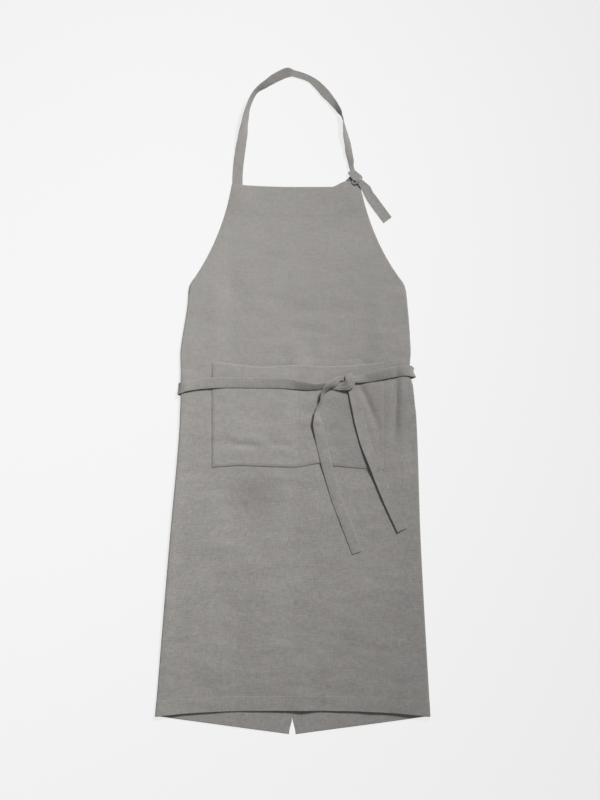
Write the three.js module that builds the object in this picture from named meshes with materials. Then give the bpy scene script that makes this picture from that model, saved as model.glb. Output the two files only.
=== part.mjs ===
// A linen wrap apron laid on its back: one cut of cloth with a bib and an A-line skirt, its two sides
// folded behind until their edges meet at a slit, a patch pocket, a neck strap knotted through a loop
// at the right bib corner, and two waist ties brought round to the front and tied in a half knot.
// Millimetres. +X is the apron's right as seen from the front, +Y runs up to the neck, +Z is up.
// The origin is on the floor, under the middle of the apron's outline.
import * as THREE from "three";

// Cloth thicknesses and the gap that neighbouring pieces keep.
const LINEN = 1.2;
const POCKET_LINEN = 1.0;
const TAPE = 1.6;
const KNOTTED_TAPE = 2.4;
const GAP = 0.3;

// The cut of the body, measured down from the bib's upper edge, whose right end the loop pulls up.
const BIB_TOP_Y = 417;
const BIB_HALF_WIDTH = 121;
const BODY_DROP = 1012;
const ARMHOLE_RADIUS = 450;
const ARMHOLE_START = THREE.MathUtils.degToRad(10);
const BIB_EDGE_SAG = 5;
const BIB_SAG_FADE = 150;
const LOOP_PULL = { from: 68, to: 96, rise: 1.8 };
const HEM_ARCH = 11;

// Where the folded sides lie on the floor, and how far the panels behind them turn from square.
const SIDES = [
  { drop: 0, left: -114, right: 128, turn: 6 },
  { drop: 188, left: -189.5, right: 208.5, turn: 6 },
  { drop: 232, left: -194.7, right: 215.5, turn: 5.3 },
  { drop: 319, left: -208, right: 221.6, turn: 4 },
  { drop: 362, left: -208.5, right: 220.8, turn: 4 },
  { drop: 384, left: -208.8, right: 227, turn: 4 },
  { drop: 467, left: -210, right: 233.4, turn: 4 },
  { drop: 684, left: -229, right: 240.8, turn: 7 },
  { drop: BODY_DROP, left: -256, right: 258.8, turn: 7.7 },
];

// The slit where the two back edges meet, which spreads a little at the hem.
const SLIT_X = 0.6;
const SLIT_HALF_GAP = 0.55;
const SLIT_HALF_GAP_AT_HEM = 6.8;
const SLIT_SPREAD_LENGTH = 34;

// Heights: the bib lies on the floor, the skirt's front rides on the hollow over the back panels.
const FRONT_RISE = 7.6;
const RISE_START_DROP = 52;
const RISE_END_DROP = 232;
const BACK_TIE_LIFT = 2.2;
const BACK_TIE_BAND = { low: 4, high: 78, ramp: 26 };

// Soft dents in the front, and the corners of the bib that lie over the strap's end and the loop.
const DENTS = [
  { x: -70, y: -178, depth: 1.1, spread: 55 },
  { x: 52, y: -268, depth: 1.0, spread: 60 },
  { x: -120, y: -430, depth: 0.9, spread: 70 },
  { x: 110, y: -455, depth: 1.0, spread: 80 },
];
const CORNER_LIFTS = [
  { x: -104, y: 400, height: 2.5, spread: 34 },
  { x: 113, y: 400, height: 2.1, spread: 38 },
];

// The patch pocket, open at its top; the front sinks behind it so that it is a real hollow.
const POCKET = { left: -152, right: 174, bottom: -122, top: 77 };
const POCKET_EDGE_GAP = 0.6;
const POCKET_BELLY = 1.6;
const POCKET_SINK = 3.0;
const POCKET_SLOPE = 42;
const POCKET_SINK_FADE = { from: 170, to: 330 };
const POCKET_DIVIDER = { x: 12, slope: 30, fade: 60 };

// Tapes.
const STRAP_WIDTH = 19.5;
const TIE_WIDTH = 20.5;
const LOOP_WIDTH = 7;
const LOOP_BASE_WIDTH = 10.5;
const LOOP_TAPE = 1.2;
const TAPE_STEP = 11;

// How finely the cloth is cut into facets.
const FRONT_COLUMNS = 16;
const FOLD_COLUMNS = 5;
const BACK_COLUMNS = 6;
const EDGE_COLUMN = 1.2;
const ROW_BANDS = [
  { toDrop: 300, step: 30 },
  { toDrop: 560, step: 14 },
  { toDrop: BODY_DROP, step: 45 },
];
const POCKET_COLUMNS = 22;
const POCKET_ROWS = 12;

const { smoothstep, degToRad, lerp } = THREE.MathUtils;

// One column of a table at a place along its key column: a cubic through the rows.
function along(table, key, column, at) {
  const last = table.length - 1;
  const slope = (i) => {
    const a = table[Math.max(0, i - 1)];
    const b = table[Math.min(last, i + 1)];
    return (b[column] - a[column]) / (b[key] - a[key]);
  };
  const above = table.findIndex((row) => row[key] > at);
  const i = above < 0 ? last - 1 : Math.max(0, above - 1);
  const a = table[i];
  const b = table[i + 1];
  const span = b[key] - a[key];
  const t = THREE.MathUtils.clamp((at - a[key]) / span, 0, 1);
  const bend = t * t * (3 - 2 * t);
  const leave = t * (1 - t) * (1 - t) * span * slope(i);
  const arrive = t * t * (t - 1) * span * slope(i + 1);
  return lerp(a[column], b[column], bend) + leave + arrive;
}

// 1 between low and high, falling smoothly to 0 over the ramp on either side.
function band(at, low, high, ramp) {
  return smoothstep(at, low - ramp, low) * (1 - smoothstep(at, high, high + ramp));
}

// A round bump of height 1 that fades to nothing at about twice its spread.
function bump(x, y, spot) {
  return Math.exp(-((x - spot.x) ** 2 + (y - spot.y) ** 2) / spot.spread ** 2);
}

// Middle of the back panels' cloth: on the floor, and over the waist ties that pass under it.
function backHeight(y) {
  return LINEN / 2 + BACK_TIE_LIFT * band(y, BACK_TIE_BAND.low, BACK_TIE_BAND.high, BACK_TIE_BAND.ramp);
}

// How far inside the pocket's stitched edges a place lies: 0 at the edges and at the divider's seam, 1
// well inside, and still 1 over the mouth until the sunk cloth comes up again on the bib.
function insidePocket(x, y) {
  const across = band(x, POCKET.left + POCKET_SLOPE, POCKET.right - POCKET_SLOPE, POCKET_SLOPE);
  const overSeam = smoothstep(y, POCKET.bottom, POCKET.bottom + POCKET_SLOPE);
  const underBib = 1 - smoothstep(y, POCKET_SINK_FADE.from, POCKET_SINK_FADE.to);
  const besideDivider = smoothstep(Math.abs(x - POCKET_DIVIDER.x), 0, POCKET_DIVIDER.slope);
  const pastDivider = smoothstep(y, POCKET.top, POCKET.top + POCKET_DIVIDER.fade);
  return across * overSeam * underBib * lerp(besideDivider, 1, pastDivider);
}

// Middle of the front's cloth where it has no dents: flat bib, then the rise over the hollow.
function frontBase(y) {
  return LINEN / 2 + FRONT_RISE * smoothstep(BIB_TOP_Y - y, RISE_START_DROP, RISE_END_DROP);
}

// Middle of the front's cloth, with its dents, the sunk cloth behind the pocket and the lifted corners.
function frontHeight(x, y) {
  const dents = DENTS.reduce((sum, spot) => sum + spot.depth * bump(x, y, spot), 0);
  const lifts = CORNER_LIFTS.reduce((sum, spot) => sum + spot.height * bump(x, y, spot), 0);
  return frontBase(y) - dents + lifts - POCKET_SINK * insidePocket(x, y);
}

// Half of the flat cloth's width at a drop, out to the armhole's arc.
function armholeHalfWidth(drop) {
  const angle = Math.asin(Math.min(1, Math.sin(ARMHOLE_START) + drop / ARMHOLE_RADIUS));
  return BIB_HALF_WIDTH + ARMHOLE_RADIUS * (Math.cos(ARMHOLE_START) - Math.cos(angle));
}

// One side of the body at a drop: where it folds, how round the fold is, and how far the cloth goes.
function sideAt(drop, side) {
  const left = along(SIDES, "drop", "left", drop);
  const right = along(SIDES, "drop", "right", drop);
  const centre = (left + right) / 2;
  const half = (right - left) / 2;
  const foldY = BIB_TOP_Y - drop;
  const radius = (frontBase(foldY) - backHeight(foldY)) / 2;
  const turn = degToRad(along(SIDES, "drop", "turn", drop));
  const spread = smoothstep(drop, BODY_DROP - SLIT_SPREAD_LENGTH, BODY_DROP);
  const slit = SLIT_X + side * lerp(SLIT_HALF_GAP, SLIT_HALF_GAP_AT_HEM, spread);
  const panel = Math.abs(centre + side * half - slit) / Math.cos(turn);
  const toSlit = half + Math.PI * radius + panel;
  return { centre, half, foldY, radius, turn, reach: Math.min(armholeHalfWidth(drop), toSlit) };
}

// A place on the body's cloth: across is measured on the flat cut from its middle, drop from its top.
function bodyPoint(across, drop) {
  const side = across < 0 ? -1 : 1;
  const s = sideAt(drop, side);
  const past = Math.abs(across) - s.half;
  if (past <= 0) {
    const share = (across / s.half) ** 2;
    const arch = HEM_ARCH * (1 - share) * (drop / BODY_DROP) ** 4;
    const towardStrap = Math.min(0, across / BIB_HALF_WIDTH);
    const towardLoop = LOOP_PULL.rise * smoothstep(across, LOOP_PULL.from, LOOP_PULL.to);
    const pulledUp = Math.max(towardStrap ** 2, towardLoop);
    const sag = BIB_EDGE_SAG * (1 - pulledUp) * (1 - smoothstep(drop, 0, BIB_SAG_FADE));
    const x = s.centre + across;
    const y = s.foldY + arch - sag;
    return new THREE.Vector3(x, y, frontHeight(x, y));
  }
  const foldX = s.centre + side * s.half;
  const low = backHeight(s.foldY);
  if (past <= Math.PI * s.radius) {
    const angle = past / s.radius;
    const x = foldX + side * s.radius * Math.sin(angle);
    return new THREE.Vector3(x, s.foldY, low + s.radius * (1 + Math.cos(angle)));
  }
  const behind = past - Math.PI * s.radius;
  const y = s.foldY - behind * Math.sin(s.turn);
  return new THREE.Vector3(foldX - side * behind * Math.cos(s.turn), y, backHeight(y));
}

// The places across the cloth where one side's columns stand, from the fold's start out to the edge.
function outerColumns(drop, side) {
  const s = sideAt(drop, side);
  const count = FOLD_COLUMNS + BACK_COLUMNS;
  const start = Math.min(s.half, s.reach - count * EDGE_COLUMN);
  const outer = s.reach - start;
  const share = (outer * FOLD_COLUMNS) / count;
  const round = start < s.half ? share : Math.min(Math.PI * s.radius, share);
  const places = [start];
  for (let k = 1; k <= FOLD_COLUMNS; k++) places.push(start + (round * k) / FOLD_COLUMNS);
  for (let k = 1; k <= BACK_COLUMNS; k++) places.push(start + round + ((outer - round) * k) / BACK_COLUMNS);
  return places;
}

// All columns of one row, from the left panel's slit edge round the front to the right panel's.
function rowColumns(drop) {
  const left = outerColumns(drop, -1);
  const right = outerColumns(drop, 1);
  const front = [];
  for (let k = 1; k < FRONT_COLUMNS; k++) front.push(lerp(-left[0], right[0], k / FRONT_COLUMNS));
  return [...left.reverse().map((a) => -a), ...front, ...right];
}

function rowDrops() {
  const drops = [0];
  for (const { toDrop, step } of ROW_BANDS) {
    const from = drops[drops.length - 1];
    const count = Math.round((toDrop - from) / step);
    for (let k = 1; k <= count; k++) drops.push(lerp(from, toDrop, k / count));
  }
  return drops;
}

// A closed wall around a grid of points: each face stands half the wall off along the grid's normal.
function wallOf(grid, wall) {
  const rows = grid.length;
  const columns = grid[0].length;
  const upper = [];
  const lower = [];
  for (let i = 0; i < rows; i++) {
    for (let j = 0; j < columns; j++) {
      const acrossWay = grid[i][Math.min(j + 1, columns - 1)].clone().sub(grid[i][Math.max(j - 1, 0)]);
      const downWay = grid[Math.min(i + 1, rows - 1)][j].clone().sub(grid[Math.max(i - 1, 0)][j]);
      const normal = downWay.cross(acrossWay).normalize().multiplyScalar(wall / 2);
      upper.push(grid[i][j].clone().add(normal));
      lower.push(grid[i][j].clone().sub(normal));
    }
  }
  const count = rows * columns;
  const faces = [];
  const quad = (a, b, c, d) => faces.push(a, b, c, a, c, d);
  const at = (i, j) => i * columns + j;
  for (let i = 0; i + 1 < rows; i++) {
    for (let j = 0; j + 1 < columns; j++) {
      quad(at(i, j), at(i + 1, j), at(i + 1, j + 1), at(i, j + 1));
      quad(count + at(i, j), count + at(i, j + 1), count + at(i + 1, j + 1), count + at(i + 1, j));
    }
  }
  const rim = [];
  for (let j = 0; j + 1 < columns; j++) rim.push(at(0, j));
  for (let i = 0; i + 1 < rows; i++) rim.push(at(i, columns - 1));
  for (let j = columns - 1; j > 0; j--) rim.push(at(rows - 1, j));
  for (let i = rows - 1; i > 0; i--) rim.push(at(i, 0));
  rim.forEach((a, k) => {
    const b = rim[(k + 1) % rim.length];
    quad(a, b, count + b, count + a);
  });
  return closedGeometry([...upper, ...lower], faces);
}

function closedGeometry(points, faces) {
  const geometry = new THREE.BufferGeometry().setFromPoints(points);
  geometry.setIndex(faces);
  geometry.computeVertexNormals();
  return geometry;
}

// A tape swept along a route's rows: x, y, z of its middle, its width, its tip out of level in degrees
// and its thickness. It lies square to the route in plan, and no lower than the floor; a row that holds
// keeps the last direction, as where the tape turns over an edge.
function tapeAlong(route, step) {
  const rows = route.map((row) => ({ width: TIE_WIDTH, tip: 0, thick: TAPE, ...row }));
  const last = rows.length - 1;
  rows.forEach((row, i) => {
    const a = rows[Math.max(0, i - 1)];
    const b = rows[Math.min(last, i + 1)];
    const square = Math.atan2(b.y - a.y, b.x - a.x) + Math.PI / 2;
    const before = i ? rows[i - 1].across : square;
    row.across = row.hold ? before : square + Math.PI * Math.round((before - square) / Math.PI);
  });
  const line = new THREE.CatmullRomCurve3(
    rows.map((row) => new THREE.Vector3(row.x, row.y, row.z)),
    false,
    "centripetal",
  );
  const points = [];
  const section = (t) => {
    const i = Math.min(last - 1, Math.floor(t * last));
    const mix = smoothstep(t * last - i, 0, 1);
    const value = (column) => lerp(rows[i][column], rows[i + 1][column], mix);
    const tip = degToRad(value("tip"));
    const across = value("across");
    const tangent = line.getTangent(t);
    const flat = new THREE.Vector3(Math.cos(across), Math.sin(across), 0).projectOnPlane(tangent).normalize();
    const wide = flat.applyAxisAngle(tangent, tip).multiplyScalar(value("width") / 2);
    const deep = tangent.clone().cross(wide).normalize().multiplyScalar(value("thick") / 2);
    const middle = line.getPoint(t);
    middle.z = Math.max(middle.z, Math.abs(wide.z) + Math.abs(deep.z));
    points.push(middle.clone().sub(wide).sub(deep), middle.clone().add(wide).sub(deep));
    points.push(middle.clone().add(wide).add(deep), middle.clone().sub(wide).add(deep));
  };
  for (let i = 0; i < last; i++) {
    const length = Math.hypot(rows[i + 1].x - rows[i].x, rows[i + 1].y - rows[i].y, rows[i + 1].z - rows[i].z);
    const steps = Math.max(2, Math.ceil(length / step));
    for (let k = 0; k < steps; k++) section((i + k / steps) / last);
  }
  section(1);
  const faces = [];
  const quad = (a, b, c, d) => faces.push(a, b, c, a, c, d);
  const rings = points.length / 4;
  for (let i = 0; i + 1 < rings; i++) {
    for (let k = 0; k < 4; k++) {
      const next = (k + 1) % 4;
      quad(4 * i + k, 4 * i + next, 4 * (i + 1) + next, 4 * (i + 1) + k);
    }
  }
  quad(3, 2, 1, 0);
  const end = 4 * (rings - 1);
  quad(end, end + 1, end + 2, end + 3);
  return closedGeometry(points, faces);
}

// The body: the grid runs down the cloth in rows and across it in columns.
function apronBody() {
  const grid = rowDrops().map((drop) => rowColumns(drop).map((across) => bodyPoint(across, drop)));
  return wallOf(grid, LINEN);
}

// Middle of the pocket's cloth: level with the front at its stitched edges, with a slight belly inside.
function pocketHeight(x, y) {
  const seat = frontBase(y) + LINEN / 2 + POCKET_EDGE_GAP + POCKET_LINEN / 2;
  return seat + POCKET_BELLY * insidePocket(x, y);
}

function pocket() {
  const grid = [];
  for (let i = 0; i <= POCKET_ROWS; i++) {
    const y = lerp(POCKET.top, POCKET.bottom, i / POCKET_ROWS);
    const row = [];
    for (let j = 0; j <= POCKET_COLUMNS; j++) {
      const x = lerp(POCKET.left, POCKET.right, j / POCKET_COLUMNS);
      row.push(new THREE.Vector3(x, y, pocketHeight(x, y)));
    }
    grid.push(row);
  }
  return wallOf(grid, POCKET_LINEN);
}

// Heights at which a tape's middle rests: on the floor, on the front's cloth and on the pocket.
const ON_FLOOR = TAPE / 2;
const ON_FRONT = FRONT_RISE + LINEN + GAP + TAPE / 2;
const ON_POCKET = ON_FRONT + POCKET_EDGE_GAP + POCKET_LINEN + POCKET_BELLY;
const ROUND_SIDE = (ON_FLOOR + ON_FRONT) / 2;

// Neck strap: sewn under the left bib corner, over the neck with half a turn on its edge, down
// through the loop, round itself in an overhand knot, and out to its free end.
const HALF_TURN = 180;
const NECK_STRAP = [
  { x: -104, y: 385, z: ON_FLOOR },
  { x: -104, y: 417, z: ON_FLOOR },
  { x: -103, y: 444, z: ON_FLOOR },
  { x: -99, y: 478, z: 2.5, tip: 10 },
  { x: -94, y: 508, z: 5.5, tip: 28 },
  { x: -89.5, y: 537, z: 9, tip: 54 },
  { x: -82, y: 568, z: 10, tip: 70 },
  { x: -68.5, y: 593.5, z: 10.4, tip: 72 },
  { x: -49, y: 608, z: 9.2, tip: 54 },
  { x: -35.5, y: 617, z: 7.6, tip: 40 },
  { x: -22.5, y: 624, z: 6.2, tip: 33 },
  { x: -9, y: 629.5, z: 5.6, tip: 28 },
  { x: 4, y: 628, z: 3.4, width: 12.5, tip: 4 },
  { x: 33, y: 618, z: 3, width: 12, tip: 4 },
  { x: 47.5, y: 607, z: 3.6, width: 15, tip: 5 },
  { x: 62.5, y: 591, z: 4.4, width: 17, tip: 7 },
  { x: 76, y: 575.5, z: 5.6, width: 14, tip: 12 },
  { x: 87.5, y: 560, z: 8.2, width: 12, tip: 38 },
  { x: 96, y: 544, z: 9, width: 13, tip: 86 },
  { x: 100, y: 523.5, z: 8.6, width: 14.5, tip: 111 },
  { x: 102.6, y: 508, z: 7.5, width: 13.5, tip: 137 },
  { x: 106, y: 493, z: 6.8, width: 12.5, tip: 162 },
  { x: 108, y: 478, z: 6.8, width: 13, tip: 180 },
  { x: 111.5, y: 462.5, z: 6.6, width: 12, tip: 192 },
].map((row) => ({ width: STRAP_WIDTH, ...row }));
const NECK_KNOT = [
  { x: 113, y: 450, z: 5.2, width: 9 },
  { x: 116.8, y: 442, z: 4.4, width: 7.5 },
  { x: 127, y: 434.5, z: 4.2, width: 5.5 },
  { x: 131.2, y: 429.6, z: 6.2, width: 5.5 },
  { x: 130.6, y: 427.2, z: 8.6, width: 5.5 },
  { x: 127.5, y: 424.2, z: 9.8, width: 5.5 },
  { x: 123.4, y: 420.4, z: 8.8, width: 5.5 },
  { x: 118.4, y: 418.4, z: 5.8, width: 4.4 },
  { x: 114.3, y: 421.6, z: 4.6, width: 3 },
  { x: 113.6, y: 424, z: 1.3, width: 2.6 },
  { x: 114.8, y: 429, z: 1.1, width: 6 },
  { x: 114.6, y: 433.6, z: 1.4, width: 8 },
  { x: 112.8, y: 437.4, z: 2.6, width: 9 },
  { x: 109.6, y: 440.4, z: 5.2, width: 12, hold: true },
  { x: 113.2, y: 439.2, z: 7.6, width: 15.5 },
  { x: 119.8, y: 431.9, z: 8, width: 16 },
  { x: 127.4, y: 424.2, z: 7.4, width: 9.5 },
  { x: 133.4, y: 417.2, z: 5.6, width: 13.5 },
].map((row) => ({ tip: HALF_TURN, ...row }));
const NECK_STRAP_END = [
  { x: 141.9, y: 407.5, z: 4, width: 17.4 },
  { x: 145.9, y: 399, z: 3.2, width: 17.4 },
  { x: 154, y: 387, z: 2.2 },
  { x: 182, y: 349, z: 1.2 },
].map((row) => ({ width: STRAP_WIDTH, tip: HALF_TURN, ...row }));

// Neck loop: a short tape bent to an arch, its two legs side by side under the right bib corner.
const LOOP_ON_FLOOR = LOOP_TAPE / 2;
const NECK_LOOP = [
  { x: 104.4, y: 390, z: LOOP_ON_FLOOR },
  { x: 104.6, y: 406, z: LOOP_ON_FLOOR },
  { x: 106.6, y: 422.2, z: LOOP_ON_FLOOR, width: LOOP_BASE_WIDTH },
  { x: 108.6, y: 425.4, z: 2.6 },
  { x: 113.8, y: 429.6, z: 3.2 },
  { x: 118.9, y: 425.4, z: 2.6 },
  { x: 120, y: 421.6, z: LOOP_ON_FLOOR, width: LOOP_BASE_WIDTH },
  { x: 122, y: 406, z: LOOP_ON_FLOOR },
  { x: 122.2, y: 390, z: LOOP_ON_FLOOR },
].map((row) => ({ width: LOOP_WIDTH, thick: LOOP_TAPE, ...row }));

// Left waist tie: from the right panel's back edge, under the left panel, round the left side to the
// front, over the other tie, back under it and down to its free end.
const WAIST_TIE_LEFT = [
  { x: 35, y: 36, z: ON_FLOOR },
  { x: -60, y: 34, z: ON_FLOOR },
  { x: -150, y: 27, z: ON_FLOOR },
  { x: -206, y: 23.4, z: ON_FLOOR },
  { x: -213.4, y: 25.9, z: 2.4, tip: -6, hold: true },
  { x: -215.4, y: 27.4, z: ROUND_SIDE, tip: -8, hold: true },
  { x: -213.2, y: 28.9, z: 8.9, tip: -6, hold: true },
  { x: -205, y: 32.2, z: ON_FRONT + 1.9, tip: -4 },
  { x: -178, y: 37, z: ON_FRONT + 2.2, tip: -5 },
  { x: -150, y: 39, z: ON_POCKET },
  { x: -122, y: 40, z: ON_POCKET + 0.2, tip: 2 },
  { x: -85, y: 39.5, z: ON_POCKET + 0.9, tip: 4 },
  { x: -13, y: 38, z: ON_POCKET + 1.3, tip: 8 },
  { x: 22, y: 33.5, z: ON_POCKET + 3.2, width: 17, tip: 24 },
  { x: 42, y: 31.5, z: ON_POCKET + 3.3, width: 14, tip: 30 },
  { x: 62, y: 33.5, z: ON_POCKET + 2.8, width: 12.5, tip: 28 },
  { x: 77, y: 33, z: ON_POCKET + 2, width: 13, tip: 14 },
  { x: 92, y: 32.5, z: ON_POCKET + 3.2, width: 15, thick: KNOTTED_TAPE },
  { x: 105.5, y: 35.5, z: ON_POCKET + 8.4, width: 20, thick: KNOTTED_TAPE },
  { x: 110.5, y: 43, z: ON_POCKET + 9.8, width: 20, thick: KNOTTED_TAPE },
  { x: 108.6, y: 51, z: ON_POCKET + 9.6, width: 16.5, thick: KNOTTED_TAPE },
  { x: 108.3, y: 55, z: ON_POCKET + 8, width: 14, thick: KNOTTED_TAPE, hold: true },
  { x: 108.3, y: 56, z: ON_POCKET + 4.6, width: 13, thick: KNOTTED_TAPE, hold: true },
  { x: 109, y: 52.5, z: ON_POCKET + 1.4, width: 12, thick: KNOTTED_TAPE, hold: true },
  { x: 109.5, y: 45, z: ON_POCKET + 1, width: 11, thick: KNOTTED_TAPE },
  { x: 111, y: 34, z: ON_POCKET + 1, width: 11 },
  { x: 114, y: 22, z: ON_POCKET + 1.6, width: 14, tip: -3 },
  { x: 120, y: 5, z: ON_POCKET + 1.6, width: 19, tip: -4 },
  { x: 129, y: -35, z: ON_POCKET + 1.1, tip: -7 },
  { x: 140.5, y: -77, z: ON_POCKET + 1, tip: -7 },
  { x: 155, y: -113, z: ON_POCKET + 0.8, tip: -7 },
  { x: 168.5, y: -148, z: ON_FRONT + 2.1, tip: -7 },
  { x: 185.5, y: -189, z: ON_FRONT + 1.2, tip: -7 },
  { x: 209.5, y: -240.5, z: ON_FRONT + 0.9, tip: -5 },
];

// Right waist tie: from the left panel's back edge, round the right side, level through the knot, and
// out on its edge over the other tie before it lies flat.
const WAIST_TIE_RIGHT = [
  { x: -35, y: 62, z: ON_FLOOR },
  { x: 60, y: 60, z: ON_FLOOR },
  { x: 150, y: 55, z: ON_FLOOR },
  { x: 222, y: 56, z: ON_FLOOR },
  { x: 228.6, y: 57.6, z: 2.4, tip: 14, hold: true },
  { x: 230.6, y: 59, z: ROUND_SIDE, tip: 26, hold: true },
  { x: 228.8, y: 60.4, z: 9.2, tip: 14, hold: true },
  { x: 220, y: 62.6, z: ON_FRONT + 1.4, tip: -2 },
  { x: 202, y: 60.8, z: ON_FRONT + 3.4, tip: -17 },
  { x: 169, y: 54.5, z: ON_POCKET + 3.4, tip: -19 },
  { x: 148, y: 49.5, z: ON_POCKET + 3, width: 18, tip: -18 },
  { x: 128, y: 46.5, z: ON_POCKET + 3, width: 14, thick: KNOTTED_TAPE },
  { x: 108, y: 46, z: ON_POCKET + 4.8, width: 11, thick: KNOTTED_TAPE },
  { x: 93, y: 48, z: ON_POCKET + 5.4, width: 10, tip: -8 },
  { x: 80, y: 40, z: ON_POCKET + 9, width: 16, tip: -28 },
  { x: 66.5, y: 29.5, z: ON_POCKET + 9.6, width: 19, tip: -56 },
  { x: 59.5, y: 19, z: ON_POCKET + 6.4, width: 13, tip: -58 },
  { x: 55, y: 3, z: ON_POCKET + 4.4, width: 8.5, tip: -62 },
  { x: 49.5, y: -9, z: ON_POCKET + 4.2, width: 8.5, tip: -60 },
  { x: 47.5, y: -22, z: ON_POCKET + 4.2, width: 13, tip: -38 },
  { x: 49.5, y: -41, z: ON_POCKET + 2.4, tip: -13 },
  { x: 56.5, y: -76, z: ON_POCKET },
  { x: 65, y: -113, z: ON_POCKET - 1 },
  { x: 75, y: -148, z: ON_FRONT + 0.5 },
  { x: 87, y: -187, z: ON_FRONT + 0.2 },
  { x: 102, y: -226, z: ON_FRONT + 0.2 },
  { x: 123.7, y: -283.5, z: ON_FRONT + 0.2 },
];

const linen = (color) => new THREE.MeshStandardMaterial({ color, roughness: 0.95, metalness: 0 });
const apron = new THREE.Group();

function add(name, geometry, color) {
  const mesh = new THREE.Mesh(geometry, linen(color));
  mesh.name = name;
  apron.add(mesh);
}

add("apron_body", apronBody(), 0x9b9794);
add("pocket", pocket(), 0x9a9693);
add("neck_strap", tapeAlong([...NECK_STRAP, ...NECK_KNOT, ...NECK_STRAP_END], TAPE_STEP), 0x989491);
add("neck_loop", tapeAlong(NECK_LOOP, TAPE_STEP), 0x989491);
add("waist_tie_left", tapeAlong(WAIST_TIE_LEFT, TAPE_STEP), 0x989491);
add("waist_tie_right", tapeAlong(WAIST_TIE_RIGHT, TAPE_STEP), 0x989491);

export default apron;
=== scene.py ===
import math

import bpy
import numpy as np
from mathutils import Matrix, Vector


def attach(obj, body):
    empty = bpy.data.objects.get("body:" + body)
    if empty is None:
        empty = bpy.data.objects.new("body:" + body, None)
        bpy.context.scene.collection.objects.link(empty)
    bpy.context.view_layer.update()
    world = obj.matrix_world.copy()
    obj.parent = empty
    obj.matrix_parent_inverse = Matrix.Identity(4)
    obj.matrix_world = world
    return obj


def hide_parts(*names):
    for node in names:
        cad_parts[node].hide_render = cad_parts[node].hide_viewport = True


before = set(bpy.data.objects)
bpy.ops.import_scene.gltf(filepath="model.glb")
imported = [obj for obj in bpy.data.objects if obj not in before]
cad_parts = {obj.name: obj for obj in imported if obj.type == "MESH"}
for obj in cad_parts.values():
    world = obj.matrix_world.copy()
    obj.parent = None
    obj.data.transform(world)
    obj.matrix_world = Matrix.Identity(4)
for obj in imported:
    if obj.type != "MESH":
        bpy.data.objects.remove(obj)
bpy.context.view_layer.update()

# The set: the apron lies flat on a pale sweep and is seen from straight above. One soft light from the upper
# right gives the shadows beside the tapes, a dim white surround fills them a little, and the sweep glows by
# itself, so that the shadows on it stay faint. Places are in the picture's pixels or in metres.
MM = 0.001
PIXEL = 1.9 * MM
PICTURE_HEIGHT = 800
PICTURE_MIDDLE = (300, 400)
ORIGIN_PIXEL = (292, 403.5)
APRON_FRONT = 9 * MM
LENS = 85
SENSOR = 36
WHITE = (1, 1, 1, 1)
SWEEP_HALF = 12
SWEEP_COLOUR = (0.136, 0.136, 0.136)
SWEEP_GLOW = 0.774
SWEEP_ROUGHNESS = 0.9
SWEEP_SPECULAR = 0.1
WORLD_SHARE = 0.20
KEY_PLACE = (1.35, 2.17, 2.43)
KEY_AIM = (-0.94, -0.5, 0)
KEY_SIZE = 0.7
KEY_SPREAD = 50.8
KEY_SHARE = 0.0516

camera_data = bpy.data.cameras.new("camera")
camera_data.lens = LENS
camera_data.sensor_width = SENSOR
camera = bpy.data.objects.new("camera", camera_data)
camera.location = (
    (PICTURE_MIDDLE[0] - ORIGIN_PIXEL[0]) * PIXEL,
    (ORIGIN_PIXEL[1] - PICTURE_MIDDLE[1]) * PIXEL,
    APRON_FRONT + PICTURE_HEIGHT * PIXEL * LENS / SENSOR,
)
bpy.context.scene.collection.objects.link(camera)
bpy.context.scene.camera = camera
bpy.context.scene.view_settings.view_transform = "Standard"

# The key's beam is narrow and aimed to the left of the apron's middle, so its light isn't even. Its power
# goes with the cube of its distance over its height, which keeps the aimed spot as bright wherever it stands.
key_offset = np.subtract(KEY_PLACE, KEY_AIM)
key_data = bpy.data.lights.new("key_light", "AREA")
key_data.size = KEY_SIZE
key_data.spread = math.radians(KEY_SPREAD)
key_data.energy = KEY_SHARE * math.pi**2 * np.linalg.norm(key_offset) ** 3 / key_offset[2]
key_light = bpy.data.objects.new("key_light", key_data)
key_light.location = KEY_PLACE
key_light.rotation_euler = Vector(-key_offset).to_track_quat("-Z", "Y").to_euler()
bpy.context.scene.collection.objects.link(key_light)

world = bpy.data.worlds.new("studio")
world.use_nodes = True
surround = world.node_tree.nodes["Background"]
surround.inputs["Color"].default_value = WHITE
surround.inputs["Strength"].default_value = WORLD_SHARE
bpy.context.scene.world = world

sweep_material = bpy.data.materials.new("sweep_paper")
sweep_material.use_nodes = True
sweep_shader = sweep_material.node_tree.nodes["Principled BSDF"]
sweep_shader.inputs["Base Color"].default_value = (*SWEEP_COLOUR, 1)
sweep_shader.inputs["Roughness"].default_value = SWEEP_ROUGHNESS
sweep_shader.inputs["Specular IOR Level"].default_value = SWEEP_SPECULAR
sweep_shader.inputs["Emission Color"].default_value = WHITE
sweep_shader.inputs["Emission Strength"].default_value = SWEEP_GLOW
sweep_signs = [(-1, -1), (1, -1), (1, 1), (-1, 1)]
sweep_corners = [(x * SWEEP_HALF, y * SWEEP_HALF, 0) for x, y in sweep_signs]
sweep_mesh = bpy.data.meshes.new("sweep")
sweep_mesh.from_pydata(sweep_corners, [], [(0, 1, 2, 3)])
sweep_mesh.materials.append(sweep_material)
sweep = bpy.data.objects.new("sweep", sweep_mesh)
bpy.context.scene.collection.objects.link(sweep)

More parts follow.
